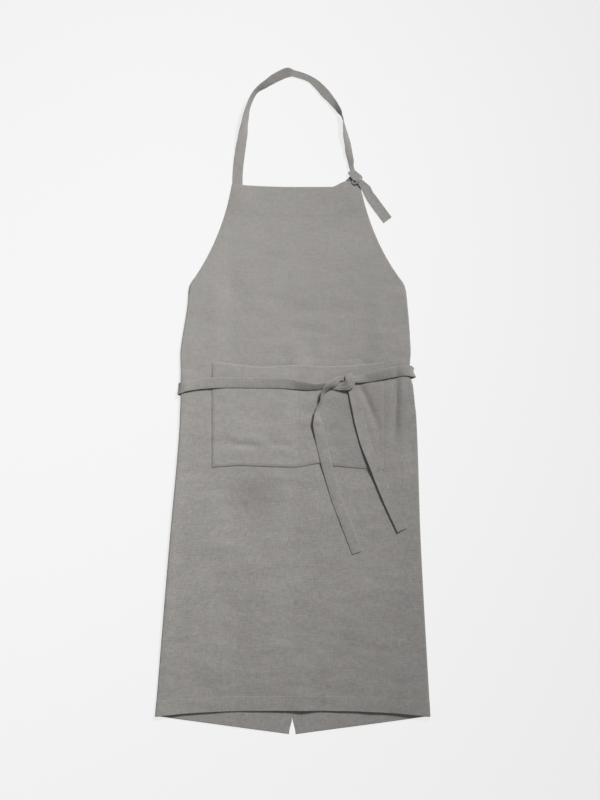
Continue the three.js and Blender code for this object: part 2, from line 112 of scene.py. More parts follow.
# The body: one cut of washed linen with a bib, two hollow armholes and an A-line skirt. Its sides are
# folded behind until their hemmed edges meet at a slit, and it lies on those two back panels, so the front
# rides on a shallow hollow. All shapes below are in millimetres, as the cloth is cut.
LINEN = 1.2
BIB_TOP = 417
BIB_HALF_WIDTH = 121
BODY_DROP = 1012
ARMHOLE_RADIUS = 450
ARMHOLE_START = math.radians(10)
BIB_EDGE_SAG = 5
BIB_SAG_FADE = 150
LOOP_PULL = (68, 96)
LOOP_RISE = 2.1
HEM_ARCH = 10.5
SIDES = np.array(
    [
        (0, -114, 128, 6),
        (188, -189.5, 208.5, 6),
        (232, -194.7, 215.5, 5.3),
        (319, -208, 221.6, 4),
        (362, -208.5, 220.8, 4),
        (384, -208.8, 227, 4),
        (467, -210, 233.4, 4),
        (684, -229, 240.8, 7),
        (BODY_DROP, -256, 258.8, 7.7),
    ],
    dtype=[("drop", float), ("left", float), ("right", float), ("turn", float)],
)
SLIT_X = 0.6
SLIT_HALF_GAP = 0.55
SLIT_HALF_GAP_AT_HEM = 6.8
SLIT_SPREAD_LENGTH = 34
FRONT_RISE = 7.6
RISE_START_DROP = 52
RISE_END_DROP = 232
BACK_TIE_LIFT = 2.2
BACK_TIE_FROM = 4
BACK_TIE_TO = 78
BACK_TIE_RAMP = 26
HEM_SAG = 3.6
HEM_SAG_LENGTH = 120
HEM_WAVE = 1.2
HEM_WAVE_LENGTH = 60
HEM_WAVE_SEED = 5
FOLD_SQUARENESS = 0.6
LEAST_FOLD_RADIUS = 0.01
BACK_WAVE = 0.7
BACK_WAVE_LENGTH = (70, 90)
BACK_WAVE_SEED = 13
BACK_WAVE_START = 60

# Hems turned under on the body: how deep each is, and how much its folded layers add to the cloth.
BIB_HEM = 57
SKIRT_HEM = 28
SIDE_HEM = 8
HEM_LAYERS = 0.7
PRESSED_LAYERS = 0.25
HEM_STEP = 1.2
SEAM_INSET = 1.6
SEAM_WIDTH = 0.9
SEAM_DIP = 0.4

# Soft marks in the front: round dents, lifted corners, small openings along the hem, and long creases left by
# folding and by the ties. A row gives a mark's place, then its depth or height, then its spread.
DENTS = [
    (-88, -202, 3.4, 46),
    (36, -300, 2.6, 46),
    (-120, -430, 1.4, 60),
    (104, -470, 1.6, 64),
    (136, -128, 1.8, 32),
    (222, -150, -2.2, 50),
]
CORNER_LIFTS = [(-104, 400, 2.5, 34), (113, 400, 2.5, 38)]
HEM_LIFTS = [(23, 2.6, 20), (150, 2.4, 30), (225, 2.2, 40)]
CREASES = np.array(
    [
        (199, 62, 195, -66, -5, 6.5),
        (212, 40, 214, -150, 0.9, 9),
        (0, 128, 0, 40, 0.25, 3),
        (2, -90, 2, -500, -1.8, 26),
        (2, -270, 2, -470, -0.3, 4),
        (-129, 308, -128, 200, 0.3, 3),
        (-60, 112, 60, 111, 0.25, 4),
        (-70, 90, 50, 91, -0.25, 4),
        (-30, -446, 10, -457, -0.6, 6),
        (167, -464, 168, -580, 0.35, 3),
        (-203, 60, -252, -560, 1.8, 13),
        (165, -44, 171, -124, -0.9, 4),
        (-150, 250, -60, 150, -0.7, 22),
        (150, 240, 80, 130, -0.7, 24),
    ],
    dtype=[(name, float) for name in ("x0", "y0", "x1", "y1", "height", "spread")],
)
CREASE_FULL = (0.25, 0.75)
CREASE_FADE = 0.4

# Random wrinkles: slow sway, two of fine crumple, two of streaks and one of long pleats. A row gives their
# height, their length each way, and a seed.
SWAY = 0.9
CRUMPLE = 0.36
STREAK = 0.33
PLEAT = 0.32
WRINKLES = [
    (SWAY, 85, 130, 3),
    (CRUMPLE, 20, 26, 8),
    (CRUMPLE, 20, 26, 21),
    (STREAK, 70, 13, 19),
    (STREAK, 70, 13, 25),
    (PLEAT, 34, 420, 22),
]
WRINKLE_SHIFT = 0.8 * (SWAY + CRUMPLE)
BIB_WRINKLE_SHARE = 0.26

# The pocket's place, because the front sinks behind it.
POCKET_LEFT = -152
POCKET_RIGHT = 174
POCKET_BOTTOM = -122
POCKET_TOP = 77
POCKET_SINK = 3.0
POCKET_SLOPE = 42
POCKET_SINK_FADE = (170, 330)
POCKET_DIVIDER = 12
DIVIDER_SLOPE = 30
DIVIDER_FADE = 60

# How finely the cloth is divided, and how its rim and sharp edges are made.
FRONT_COLUMNS = 112
FOLD_COLUMNS = 10
BACK_COLUMNS = 24
EDGE_INSETS = np.array([11, 9.2, 8.6, 8, 7.4, 6.4, 4, 1.5, 0])
LEAST_OUTER = 18
BODY_ROWS = 222
ROW_INSETS = np.array([-3, -1.4, -0.6, 0, 0.6, 1.4, 3])
END_ROW_INSET = 1.0
RIM_REACH = 0.35
SHARP_ANGLE = math.radians(60)


def eased(at, low, high):
    """0 below low, 1 above high, and an S-shaped ramp between: 3 t squared less 2 t cubed."""
    t = np.clip((at - low) / (high - low), 0, 1)
    return t * t * (3 - 2 * t)


def between(at, low, high, ramp):
    """1 between low and high, eased to 0 over the ramp on either side."""
    return eased(at, low - ramp, low) * (1 - eased(at, high, high + ramp))


def bump(x, y, spot_x, spot_y, spread):
    """A round bump of height 1: e to the minus distance squared over spread squared."""
    return np.exp(-((x - spot_x) ** 2 + (y - spot_y) ** 2) / spread**2)


def through(table, key, column, at):
    """A column's value along a table's key: a cubic between each two rows, whose slope at a row is the
    slope between that row's neighbours."""
    keys = table[key]
    values = table[column]
    before = np.maximum(np.arange(len(keys)) - 1, 0)
    after = np.minimum(np.arange(len(keys)) + 1, len(keys) - 1)
    slopes = (values[after] - values[before]) / (keys[after] - keys[before])
    i = np.clip(np.searchsorted(keys, at, side="right") - 1, 0, len(keys) - 2)
    span = keys[i + 1] - keys[i]
    t = np.clip((at - keys[i]) / span, 0, 1)
    bend = t * t * (3 - 2 * t)
    leave = t * (1 - t) ** 2 * span * slopes[i]
    arrive = t * t * (t - 1) * span * slopes[i + 1]
    return values[i] * (1 - bend) + values[i + 1] * bend + leave + arrive


def hills(x, y, length_x, length_y, seed):
    """Smooth random heights from -1 to 1: seeded values on a lattice that is turned by its seed, eased
    between the four corners around each place."""
    size = 256
    heights = np.random.default_rng(seed).uniform(-1, 1, (size, size))
    u = (x * math.cos(seed) + y * math.sin(seed)) / length_x + size / 2
    v = (y * math.cos(seed) - x * math.sin(seed)) / length_y + size / 2
    i = np.clip(np.floor(u).astype(int), 0, size - 2)
    j = np.clip(np.floor(v).astype(int), 0, size - 2)
    a = eased(u - i, 0, 1)
    b = eased(v - j, 0, 1)
    low = heights[i, j] * (1 - a) + heights[i + 1, j] * a
    high = heights[i, j + 1] * (1 - a) + heights[i + 1, j + 1] * a
    return low * (1 - b) + high * b


def crease(x, y, x0, y0, x1, y1, height, spread):
    """A soft ridge or groove along a straight line: a bell curve across it that fades out at its ends."""
    way = np.array([x1 - x0, y1 - y0])
    length = np.linalg.norm(way)
    way = way / length
    along = ((x - x0) * way[0] + (y - y0) * way[1]) / length
    off = (x - x0) * way[1] - (y - y0) * way[0]
    return height * np.exp(-((off / spread) ** 2)) * between(along, *CREASE_FULL, CREASE_FADE)


def inside_pocket(x, y):
    """0 at the pocket's stitched edges and at its divider's seam, 1 well inside, and still 1 above its
    mouth until the sunk cloth comes up again on the bib."""
    across = between(x, POCKET_LEFT + POCKET_SLOPE, POCKET_RIGHT - POCKET_SLOPE, POCKET_SLOPE)
    over_seam = eased(y, POCKET_BOTTOM, POCKET_BOTTOM + POCKET_SLOPE)
    under_bib = 1 - eased(y, *POCKET_SINK_FADE)
    beside = eased(np.abs(x - POCKET_DIVIDER), 0, DIVIDER_SLOPE)
    past = eased(y, POCKET_TOP, POCKET_TOP + DIVIDER_FADE)
    return across * over_seam * under_bib * (beside * (1 - past) + past)


def front_base(y):
    """Middle of the front's cloth where it has no marks: flat on the floor at the bib, then an eased rise
    over the hollow."""
    return LINEN / 2 + FRONT_RISE * eased(BIB_TOP - y, RISE_START_DROP, RISE_END_DROP)


def cloth_marks(x, y):
    """Marks that the front and the pocket share: the sum of the random wrinkles, the creases and the dents.
    The wrinkles are shifted down on the skirt, so that they mostly sink and the tapes stay clear; on the bib
    they are weak and shifted up, so that they mostly rise from the floor."""
    on_skirt = eased(BIB_TOP - y, RISE_START_DROP, RISE_END_DROP)
    wrinkles = sum(height * hills(x, y, *lattice) for height, *lattice in WRINKLES)
    shifted = wrinkles + WRINKLE_SHIFT * (1 - 2 * on_skirt)
    marks = shifted * (BIB_WRINKLE_SHARE + (1 - BIB_WRINKLE_SHARE) * on_skirt)
    for row in CREASES:
        marks = marks + crease(x, y, *row)
    for spot_x, spot_y, depth, spread in DENTS:
        marks = marks - depth * bump(x, y, spot_x, spot_y, spread)
    return marks


def front_height(x, y):
    """Middle of the front's cloth: its base, the marks, the sunk cloth behind the pocket and the lifted
    corners. Toward the hem it sags in a slow wave, times one less the square of the share across, and opens
    upwards at a few places in bell curves."""
    lifts = 0
    for spot_x, spot_y, height, spread in CORNER_LIFTS:
        lifts = lifts + height * bump(x, y, spot_x, spot_y, spread)
    opened = 0
    for spot_x, height, spread in HEM_LIFTS:
        opened = opened + height * np.exp(-(((x - spot_x) / spread) ** 2))
    to_hem = eased(BIB_TOP - y, BODY_DROP - HEM_SAG_LENGTH, BODY_DROP)
    from_fold = 1 - np.clip(np.abs(x) / SIDES["right"][-1], 0, 1) ** 2
    wavy = HEM_SAG + HEM_WAVE * hills(x, 0 * y, HEM_WAVE_LENGTH, HEM_WAVE_LENGTH, HEM_WAVE_SEED)
    sunk = POCKET_SINK * inside_pocket(x, y)
    return front_base(y) + cloth_marks(x, y) + lifts - sunk + (opened - wavy * from_fold) * to_hem


def back_height(y):
    """Middle of the back panels' cloth: on the floor, and over the waist ties that pass under it."""
    return LINEN / 2 + BACK_TIE_LIFT * between(y, BACK_TIE_FROM, BACK_TIE_TO, BACK_TIE_RAMP)


def side_at(drop, side):
    """One side of the body at each drop: where the front's middle and its fold are, how round the fold is,
    how far the panel behind turns, and how far the cloth goes, to the armhole's arc or to the slit."""
    left = through(SIDES, "drop", "left", drop)
    right = through(SIDES, "drop", "right", drop)
    centre = (left + right) / 2
    half = (right - left) / 2
    fold_y = BIB_TOP - drop
    radius = (front_base(fold_y) - back_height(fold_y)) / 2
    turn = np.radians(through(SIDES, "drop", "turn", drop))
    spread = eased(drop, BODY_DROP - SLIT_SPREAD_LENGTH, BODY_DROP)
    slit = SLIT_X + side * (SLIT_HALF_GAP + (SLIT_HALF_GAP_AT_HEM - SLIT_HALF_GAP) * spread)
    to_slit = half + np.pi * radius + np.abs(centre + side * half - slit) / np.cos(turn)
    angle = np.arcsin(np.minimum(1, np.sin(ARMHOLE_START) + drop / ARMHOLE_RADIUS))
    to_armhole = BIB_HALF_WIDTH + ARMHOLE_RADIUS * (np.cos(ARMHOLE_START) - np.cos(angle))
    return centre, half, fold_y, radius, turn, np.minimum(to_armhole, to_slit)


def body_middle(across, drop):
    """A place on the middle of the body's cloth. Across is measured on the flat cut from its centre line,
    drop from its top edge: the front first, then half a turn round the fold, then the panel behind. The bib's
    edge sags between its corners, and the hem arches by one less the cube of the share across, times the
    fourth power of the share down. The fold's sine and cosine are raised to a power that squares it."""
    side = np.where(across < 0, -1, 1)
    centre, half, fold_y, radius, turn, _ = side_at(drop, side)
    past = np.abs(across) - half
    share = np.abs(across) / half
    arch = HEM_ARCH * (1 - share**3) * (drop / BODY_DROP) ** 4
    toward_strap = np.minimum(0, across / BIB_HALF_WIDTH)
    pulled_up = np.maximum(toward_strap**2, LOOP_RISE * eased(across, *LOOP_PULL))
    sag = BIB_EDGE_SAG * (1 - pulled_up) * (1 - eased(drop, 0, BIB_SAG_FADE))
    front_x = centre + across
    front_y = fold_y + arch - sag
    front = np.stack([front_x, front_y, front_height(front_x, front_y)], -1)
    fold_x = centre + side * half
    low = back_height(fold_y)
    round_angle = np.clip(past / np.maximum(radius, LEAST_FOLD_RADIUS), 0, np.pi)
    level = np.cos(round_angle)
    fold_z = low + radius * (1 + np.sign(level) * np.abs(level) ** FOLD_SQUARENESS)
    fold_out = radius * np.sin(round_angle) ** FOLD_SQUARENESS
    folded = np.stack([fold_x + side * fold_out, fold_y, fold_z], -1)
    behind = np.maximum(0, past - np.pi * radius)
    back_y = fold_y - behind * np.sin(turn)
    back_x = fold_x - side * behind * np.cos(turn)
    wave = BACK_WAVE * (1 + hills(back_x, back_y, *BACK_WAVE_LENGTH, BACK_WAVE_SEED))
    back_z = back_height(back_y) + wave * eased(behind, 0, BACK_WAVE_START)
    back = np.stack([back_x, back_y, back_z], -1)
    marks = np.where(past <= 0, 0, cloth_marks(fold_x, fold_y) * (1 + np.cos(round_angle)) / 2)
    folded[..., 2] += marks
    wrapped = np.where((behind > 0)[..., None], back, folded)
    return np.where((past <= 0)[..., None], front, wrapped)


def body_thickness(across, drop):
    """The cloth's thickness: one layer, more where a hem is turned under, with a shallow dip at its seam."""
    side = np.where(across < 0, -1, 1)
    reach = side_at(drop, side)[-1]
    hems = [
        (drop, BIB_HEM, PRESSED_LAYERS),
        (BODY_DROP - drop, SKIRT_HEM, HEM_LAYERS),
        (reach - np.abs(across), SIDE_HEM, PRESSED_LAYERS),
    ]
    thickness = LINEN
    for inset, depth, layers in hems:
        turned = 1 - eased(inset, depth - HEM_STEP / 2, depth + HEM_STEP / 2)
        dip = np.exp(-(((inset - depth + SEAM_INSET) / SEAM_WIDTH) ** 2))
        thickness = np.maximum(thickness, LINEN + layers * (turned - SEAM_DIP * dip))
    return thickness


def outer_columns(drop, side):
    """Where one side's columns stand across the flat cut: round the fold, over the back panel, and close
    together along the hemmed edge."""
    _, half, _, radius, _, reach = side_at(drop, side)
    start = np.minimum(half, reach - LEAST_OUTER)
    outer = reach - start
    part = outer * FOLD_COLUMNS / (FOLD_COLUMNS + BACK_COLUMNS + len(EDGE_INSETS))
    turned = np.where(start < half, part, np.minimum(np.pi * radius, part))
    fold = start + turned * np.linspace(0, 1, FOLD_COLUMNS + 1)
    plain = outer - turned - EDGE_INSETS[0]
    back = start + turned + plain * np.linspace(0, 1, BACK_COLUMNS + 1)[1:-1]
    return np.concatenate([fold, back, reach - EDGE_INSETS[None, :] + 0 * start], axis=1)


def cloth_normals(middle):
    """Unit normals of a grid of points: the way down it crossed with the way across it."""
    normals = np.cross(np.gradient(middle, axis=0), np.gradient(middle, axis=1))
    return normals / np.linalg.norm(normals, axis=-1, keepdims=True)


def outward(line, inner):
    """Unit steps from a row of points inside the edge to the edge's own row."""
    step = line - inner
    return step / np.linalg.norm(step, axis=-1, keepdims=True)


def cloth_wall(middle, thickness):
    """Closes a grid into a wall of cloth. Its faces stand half the thickness off the grid along the normals,
    not under the floor, and a ring about a third of a thickness outside the grid's edge rounds the rim."""
    rows, columns = middle.shape[:2]
    offset = cloth_normals(middle) * thickness[..., None] / 2
    upper = middle + offset
    lower = middle - offset
    upper[..., 2] = np.maximum(upper[..., 2], 0)
    lower[..., 2] = np.maximum(lower[..., 2], 0)
    number = np.arange(rows * columns).reshape(rows, columns)
    edge = np.concatenate([number[0, :-1], number[:-1, -1], number[-1, :0:-1], number[:0:-1, 0]])
    bulge = np.zeros_like(middle)
    bulge[0] += outward(middle[0], middle[1])
    bulge[-1] += outward(middle[-1], middle[-2])
    bulge[:, 0] += outward(middle[:, 0], middle[:, 1])
    bulge[:, -1] += outward(middle[:, -1], middle[:, -2])
    rim = (middle + bulge * thickness[..., None] * RIM_REACH).reshape(-1, 3)[edge]
    count = rows * columns
    a, b = number[:-1, :-1].ravel(), number[1:, :-1].ravel()
    c, d = number[1:, 1:].ravel(), number[:-1, 1:].ravel()
    top = np.stack([a, b, c, d], 1)
    ring = np.arange(len(edge))
    after = np.roll(ring, -1)
    upper_rim = np.stack([edge, edge[after], 2 * count + after, 2 * count + ring], 1)
    lower_rim = np.stack([2 * count + ring, 2 * count + after, count + edge[after], count + edge], 1)
    points = np.concatenate([upper.reshape(-1, 3), lower.reshape(-1, 3), rim])
    return points, np.concatenate([top, count + top[:, ::-1], upper_rim, lower_rim]), edge


def add_piece(name, points, faces, cloth, material):
    """Puts a piece's points, given in millimetres, into a mesh in metres that rides on the apron. Cloth is
    each point's place on the flat cloth, which the weave follows."""
    mesh = bpy.data.meshes.new(name)
    mesh.from_pydata((points * MM).tolist(), [], [list(face) for face in faces])
    corners = np.empty(len(mesh.loops), np.int32)
    mesh.loops.foreach_get("vertex_index", corners)
    layer = mesh.uv_layers.new(name="cloth")
    layer.uv.foreach_set("vector", (cloth[corners] * MM).astype(np.float32).ravel())
    mesh.polygons.foreach_set("use_smooth", np.ones(len(mesh.polygons), bool))
    mesh.set_sharp_from_angle(angle=SHARP_ANGLE)
    mesh.materials.append(material)
    piece = bpy.data.objects.new(name, mesh)
    bpy.context.scene.collection.objects.link(piece)
    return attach(piece, "root")


class Shade:
    """A shader socket that Python expressions work on: an operator adds a Math node to its material."""

    def __init__(self, tree, socket=None):
        self.tree = tree
        self.socket = socket

    def node(self, kind, settings, sockets, output=0):
        """Adds a node of a kind: its settings first, then the values or links of its sockets."""
        made = self.tree.nodes.new(kind)
        for name, value in settings.items():
            setattr(made, name, value)
        for name, value in sockets.items():
            if isinstance(value, Shade):
                self.tree.links.new(value.socket, made.inputs[name])
            else:
                made.inputs[name].default_value = value
        return Shade(self.tree, made.outputs[output])

    def math(self, operation, first, second=0.0):
        """A Math node's result for one or two values."""
        return self.node("ShaderNodeMath", {"operation": operation}, {0: first, 1: second})

    def __add__(self, other):
        return self.math("ADD", self, other)

    def __radd__(self, other):
        return self.math("ADD", other, self)

    def __sub__(self, other):
        return self.math("SUBTRACT", self, other)

    def __rsub__(self, other):
        return self.math("SUBTRACT", other, self)

    def __mul__(self, other):
        return self.math("MULTIPLY", self, other)

    def __rmul__(self, other):
        return self.math("MULTIPLY", other, self)

    def sine(self):
        """The sine of the value, taken in radians."""
        return self.math("SINE", self)


# Linen's finish: warm and cooler flax in grey yarn, with thick and thin places along each thread. Two lengths
# of a noise's cells are across and down the cloth. The relief only bends the light. The tone also carries
# painted shade in soft round areas and a painted highlight along a tape's edges.
WARM_FLAX = (0.338, 0.314, 0.293, 1)
COOL_FLAX = (0.312, 0.308, 0.300, 1)
THREAD_PITCH = 0.75
WEFT_SLUB = (15, 2.3)
WARP_SLUB = (2.3, 15)
WEFT_TONE = 0.20
WARP_TONE = 0.16
GRAIN = 2.8
GRAIN_TONE = 0.22
MOTTLE = 9
MOTTLE_TONE = 0.15
CRINKLE = (30, 7)
CLOUD = 60
CLOUD_TONE = 0.10
TINT = (46, 38)
TINT_CONTRAST = 0.9
WEAVE_DROP = (250, 600)
WEAVE_SHARE = (0.8, 1.45)
# Painted shade: a soft round area stays at its darkest out to this share of its reach, then eases back.
PAINTED_SHADE_CORE = 0.17
# A painted highlight along a tape's edges, where its rounded fold catches the light: between these shares of
# its half width the tone rises to this much.
PAINTED_HIGHLIGHT_FROM = 0.80
PAINTED_HIGHLIGHT_TO = 0.96
PAINTED_HIGHLIGHT_SHADE = 1.05
WEAVE_RELIEF = 0.25
SLUB_RELIEF = 0.8
GRAIN_RELIEF = 0.5
CRINKLE_RELIEF = 1.6
RELIEF_STRENGTH = 0.35
RELIEF_DEPTH = 0.4
LEAST_ROUGHNESS = 0.86
GRAIN_ROUGHNESS = 0.14
LINEN_SPECULAR = 0.2
LINEN_SHEEN = 0.08
SHEEN_ROUGHNESS = 0.5
# Painted shade on the body, for the shade of the cloth's form: a broad area at the right of the waist and a
# smaller one on the skirt's left. A row gives its place across and down the flat cut, its reach and its
# darkest share.
BODY_PAINTED_SHADE = [(136, 440, 150, 0.86), (-74, 590, 84, 0.92)]


def linen(name, shade=1.0, painted_shade_spots=(), tape_width=None):
    """Plain-woven linen. Its colour goes between warm and cool yarn in soft clouds, times a tone: one plus
    the slubs of both thread ways, grain, mottle and clouds, which show more lower down. Painted shade dims
    soft round areas, each given by its middle, its reach and its darkest share, and a painted highlight makes
    a tape's edges a little paler. Its height is sine of weft times sine of warp, plus slubs, grain and
    crinkle."""
    material = bpy.data.materials.new(name)
    material.use_nodes = True
    tree = material.node_tree
    shader = tree.nodes["Principled BSDF"]
    start = Shade(tree)
    flat = start.node("ShaderNodeUVMap", {"uv_map": "cloth"}, {}, "UV")

    def noise(cell_u, cell_v, detail):
        """Smooth noise from 0 to 1 on the flat cloth, in cells of two lengths in millimetres."""
        stretch = (1 / (cell_u * MM), 1 / (cell_v * MM), 1)
        place = flat.node("ShaderNodeVectorMath", {"operation": "MULTIPLY"}, {0: flat, 1: stretch})
        sockets = {"Vector": place, "Scale": 1.0, "Detail": detail}
        return flat.node("ShaderNodeTexNoise", {"noise_dimensions": "2D"}, sockets, "Fac")

    def ramp(value, low, high, at_low, at_high, kind="LINEAR"):
        """Goes from one value at a low end to another at a high end, and keeps them beyond the ends."""
        sockets = {0: value, 1: low, 2: high, 3: at_low, 4: at_high}
        return flat.node("ShaderNodeMapRange", {"interpolation_type": kind}, sockets)

    weft = noise(*WEFT_SLUB, detail=2)
    warp = noise(*WARP_SLUB, detail=2)
    grain = noise(GRAIN, GRAIN, detail=3)
    mottle = noise(MOTTLE, MOTTLE, detail=2)
    clouds = noise(CLOUD, CLOUD, detail=2)
    tint = noise(*TINT, detail=2)
    crinkle = noise(*CRINKLE, detail=1)
    threads = WEFT_TONE * (weft - 0.5) + WARP_TONE * (warp - 0.5)
    spots = GRAIN_TONE * (grain - 0.5) + MOTTLE_TONE * (mottle - 0.5) + CLOUD_TONE * (clouds - 0.5)
    coolness = TINT_CONTRAST * (tint - 0.5) + 0.5
    # On a Mix node that mixes colours, these come in at sockets 6 and 7 and go out at socket 2.
    yarn = flat.node("ShaderNodeMix", {"data_type": "RGBA"}, {0: coolness, 6: WARM_FLAX, 7: COOL_FLAX}, 2)
    apart = flat.node("ShaderNodeSeparateXYZ", {}, {0: flat})
    across = Shade(tree, apart.socket.node.outputs["X"])
    along = Shade(tree, apart.socket.node.outputs["Y"])
    clearness = ramp(along, WEAVE_DROP[0] * MM, WEAVE_DROP[1] * MM, *WEAVE_SHARE)
    tone = shade * (1 + clearness * (threads + spots))
    # Painted shade: each soft round area lowers the tone toward its middle.
    for spot_across, spot_drop, reach, darkest in painted_shade_spots:
        ends = {0: flat, 1: (spot_across * MM, spot_drop * MM, 0)}
        distance = flat.node("ShaderNodeVectorMath", {"operation": "DISTANCE"}, ends, "Value")
        tone = tone * ramp(distance, PAINTED_SHADE_CORE * reach * MM, reach * MM, darkest, 1.0, "SMOOTHSTEP")
    # Painted highlight: a tape's tone rises toward both of its edges.
    if tape_width:
        half = tape_width * MM / 2
        from_middle = flat.math("ABSOLUTE", across)
        tone = tone * ramp(from_middle, PAINTED_HIGHLIGHT_FROM * half, PAINTED_HIGHLIGHT_TO * half, 1.0, PAINTED_HIGHLIGHT_SHADE)
    colour = flat.node("ShaderNodeVectorMath", {"operation": "SCALE"}, {0: yarn, "Scale": tone})
    turns = 2 * math.pi / (THREAD_PITCH * MM)
    weave = (across * turns).sine() * (along * turns).sine()
    slubs = SLUB_RELIEF * weft + SLUB_RELIEF * warp
    height = WEAVE_RELIEF * weave + slubs + GRAIN_RELIEF * grain + CRINKLE_RELIEF * crinkle
    relief = {"Strength": RELIEF_STRENGTH, "Distance": RELIEF_DEPTH * MM, "Height": height}
    normal = flat.node("ShaderNodeBump", {}, relief, "Normal")
    roughness = LEAST_ROUGHNESS + GRAIN_ROUGHNESS * grain
    tree.links.new(colour.socket, shader.inputs["Base Color"])
    tree.links.new(roughness.socket, shader.inputs["Roughness"])
    tree.links.new(normal.socket, shader.inputs["Normal"])
    shader.inputs["Specular IOR Level"].default_value = LINEN_SPECULAR
    shader.inputs["Sheen Weight"].default_value = LINEN_SHEEN
    shader.inputs["Sheen Roughness"].default_value = SHEEN_ROUGHNESS
    return material


body_drops = np.concatenate(
    [
        np.linspace(0, BODY_DROP, BODY_ROWS),
        BIB_HEM + ROW_INSETS,
        BODY_DROP - SKIRT_HEM + ROW_INSETS,
        [END_ROW_INSET, BODY_DROP - END_ROW_INSET],
    ]
)
body_drops = np.unique(np.round(body_drops, 2))[:, None]
left_columns = outer_columns(body_drops, -1)
right_columns = outer_columns(body_drops, 1)
front_shares = np.linspace(0, 1, FRONT_COLUMNS + 1)[None, 1:-1]
front_columns = -left_columns[:, :1] * (1 - front_shares) + right_columns[:, :1] * front_shares
body_across = np.concatenate([-left_columns[:, ::-1], front_columns, right_columns], axis=1)
body_drop = body_drops + 0 * body_across
body_points, body_faces, body_edge = cloth_wall(
    body_middle(body_across, body_drop), body_thickness(body_across, body_drop)
)
body_flat = np.stack([body_across.ravel(), body_drop.ravel()], 1)
apron_body = add_piece(
    "body_cloth",
    body_points,
    body_faces,
    np.concatenate([body_flat, body_flat, body_flat[body_edge]]),
    linen("linen_body", painted_shade_spots=BODY_PAINTED_SHADE),
)
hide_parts("apron_body")

# The body's seams: lockstitch in matching thread along the bib's hem, the skirt's hem and the narrow hem
# that runs down each armhole and on down the slit's edge.
STITCH_PITCH = 3.0
STITCH_LENGTH = 2.3
STITCH_GIRTH = 0.45
STITCH_SIDES = 5
THREAD_SHADE = 1.06
SEAM_END_INSET = 3
SIDE_SEAM_POINTS = 500
BIB_SEAM_POINTS = 300
HEM_SEAM_POINTS = 600


def sew(name, rows, material):
    """Stitches along seams. Each row holds places, the ways along the seam and the ways out of the cloth. A
    stitch is a five-sided lens with a tip, two rings at a quarter of its length from its middle and a second
    tip, and nothing of it goes under the floor."""
    places, ways, ups = (np.concatenate([row[k] for row in rows]) for k in range(3))
    ways = ways / np.linalg.norm(ways, axis=1, keepdims=True)
    sides = np.cross(ups, ways)
    turn = np.linspace(0, 2 * np.pi, STITCH_SIDES, endpoint=False)
    ring = np.stack([0 * turn, np.cos(turn), np.sin(turn)], 1) * STITCH_GIRTH / 2
    tip = np.array([[STITCH_LENGTH / 2, 0, 0]])
    shift = tip / 2
    lens = np.concatenate([-tip, ring - shift, ring + shift, tip])
    axes = np.stack([ways, sides, ups], 1)
    points = places[:, None, :] + np.einsum("vk,nkc->nvc", lens, axes)
    points[..., 2] = np.maximum(points[..., 2], 0)
    near = 1 + np.arange(STITCH_SIDES)
    near_after = np.roll(near, -1)
    far = near + STITCH_SIDES
    far_after = near_after + STITCH_SIDES
    far_tip = len(lens) - 1
    first = np.stack([0 * near, near_after, near], 1)
    last = np.stack([0 * far + far_tip, far, far_after], 1)
    belt = np.stack([near, near_after, far_after, far], 1)
    offsets = len(lens) * np.arange(len(places))[:, None, None]
    caps = (np.concatenate([first, last])[None] + offsets).reshape(-1, 3)
    belts = (belt[None] + offsets).reshape(-1, 4)
    flat = points.reshape(-1, 3)[:, :2]
    return add_piece(name, points.reshape(-1, 3), caps.tolist() + belts.tolist(), flat, material)


def seam_on(middle_of, thickness_of, first, second):
    """Even stitch places along a line on a cloth: the line's two parameters are resampled at the stitch
    pitch, lifted to the cloth's upper face along its normal, which is worked out by small steps."""
    line = middle_of(first, second)
    run = np.concatenate([[0], np.cumsum(np.linalg.norm(np.diff(line, axis=0), axis=1))])
    at = np.arange(STITCH_PITCH, run[-1] - STITCH_PITCH, STITCH_PITCH)
    first = np.interp(at, run, first)
    second = np.interp(at, run, second)
    places = middle_of(first, second)
    small = 0.5
    downward = middle_of(first, second + small) - places
    sideways = middle_of(first + small, second) - places
    ups = np.cross(downward, sideways)
    ups = ups / np.linalg.norm(ups, axis=1, keepdims=True)
    lift = thickness_of(first, second)[:, None] / 2
    return places + ups * lift, np.gradient(places, axis=0), ups


seam_drops = np.linspace(SEAM_END_INSET, BODY_DROP - SEAM_END_INSET, SIDE_SEAM_POINTS)
seam_inset = SIDE_HEM - SEAM_INSET
left_reach = side_at(seam_drops, -1)[-1] - seam_inset
right_reach = side_at(seam_drops, 1)[-1] - seam_inset
bib_seam_drop = BIB_HEM - SEAM_INSET
hem_seam_drop = BODY_DROP - SKIRT_HEM + SEAM_INSET
bib_half = side_at(np.array([bib_seam_drop]), 1)[-1][0] - SIDE_HEM
hem_half = side_at(np.array([hem_seam_drop]), 1)[-1][0] - SIDE_HEM
bib_line = np.linspace(-bib_half, bib_half, BIB_SEAM_POINTS)
hem_line = np.linspace(-hem_half, hem_half, HEM_SEAM_POINTS)
seam_thread = linen("linen_thread", THREAD_SHADE)
body_seams = sew(
    "body_seams",
    [
        seam_on(body_middle, body_thickness, -left_reach, seam_drops),
        seam_on(body_middle, body_thickness, right_reach, seam_drops),
        seam_on(body_middle, body_thickness, bib_line, 0 * bib_line + bib_seam_drop),
        seam_on(body_middle, body_thickness, hem_line, 0 * hem_line + hem_seam_drop),
    ],
    seam_thread,
)

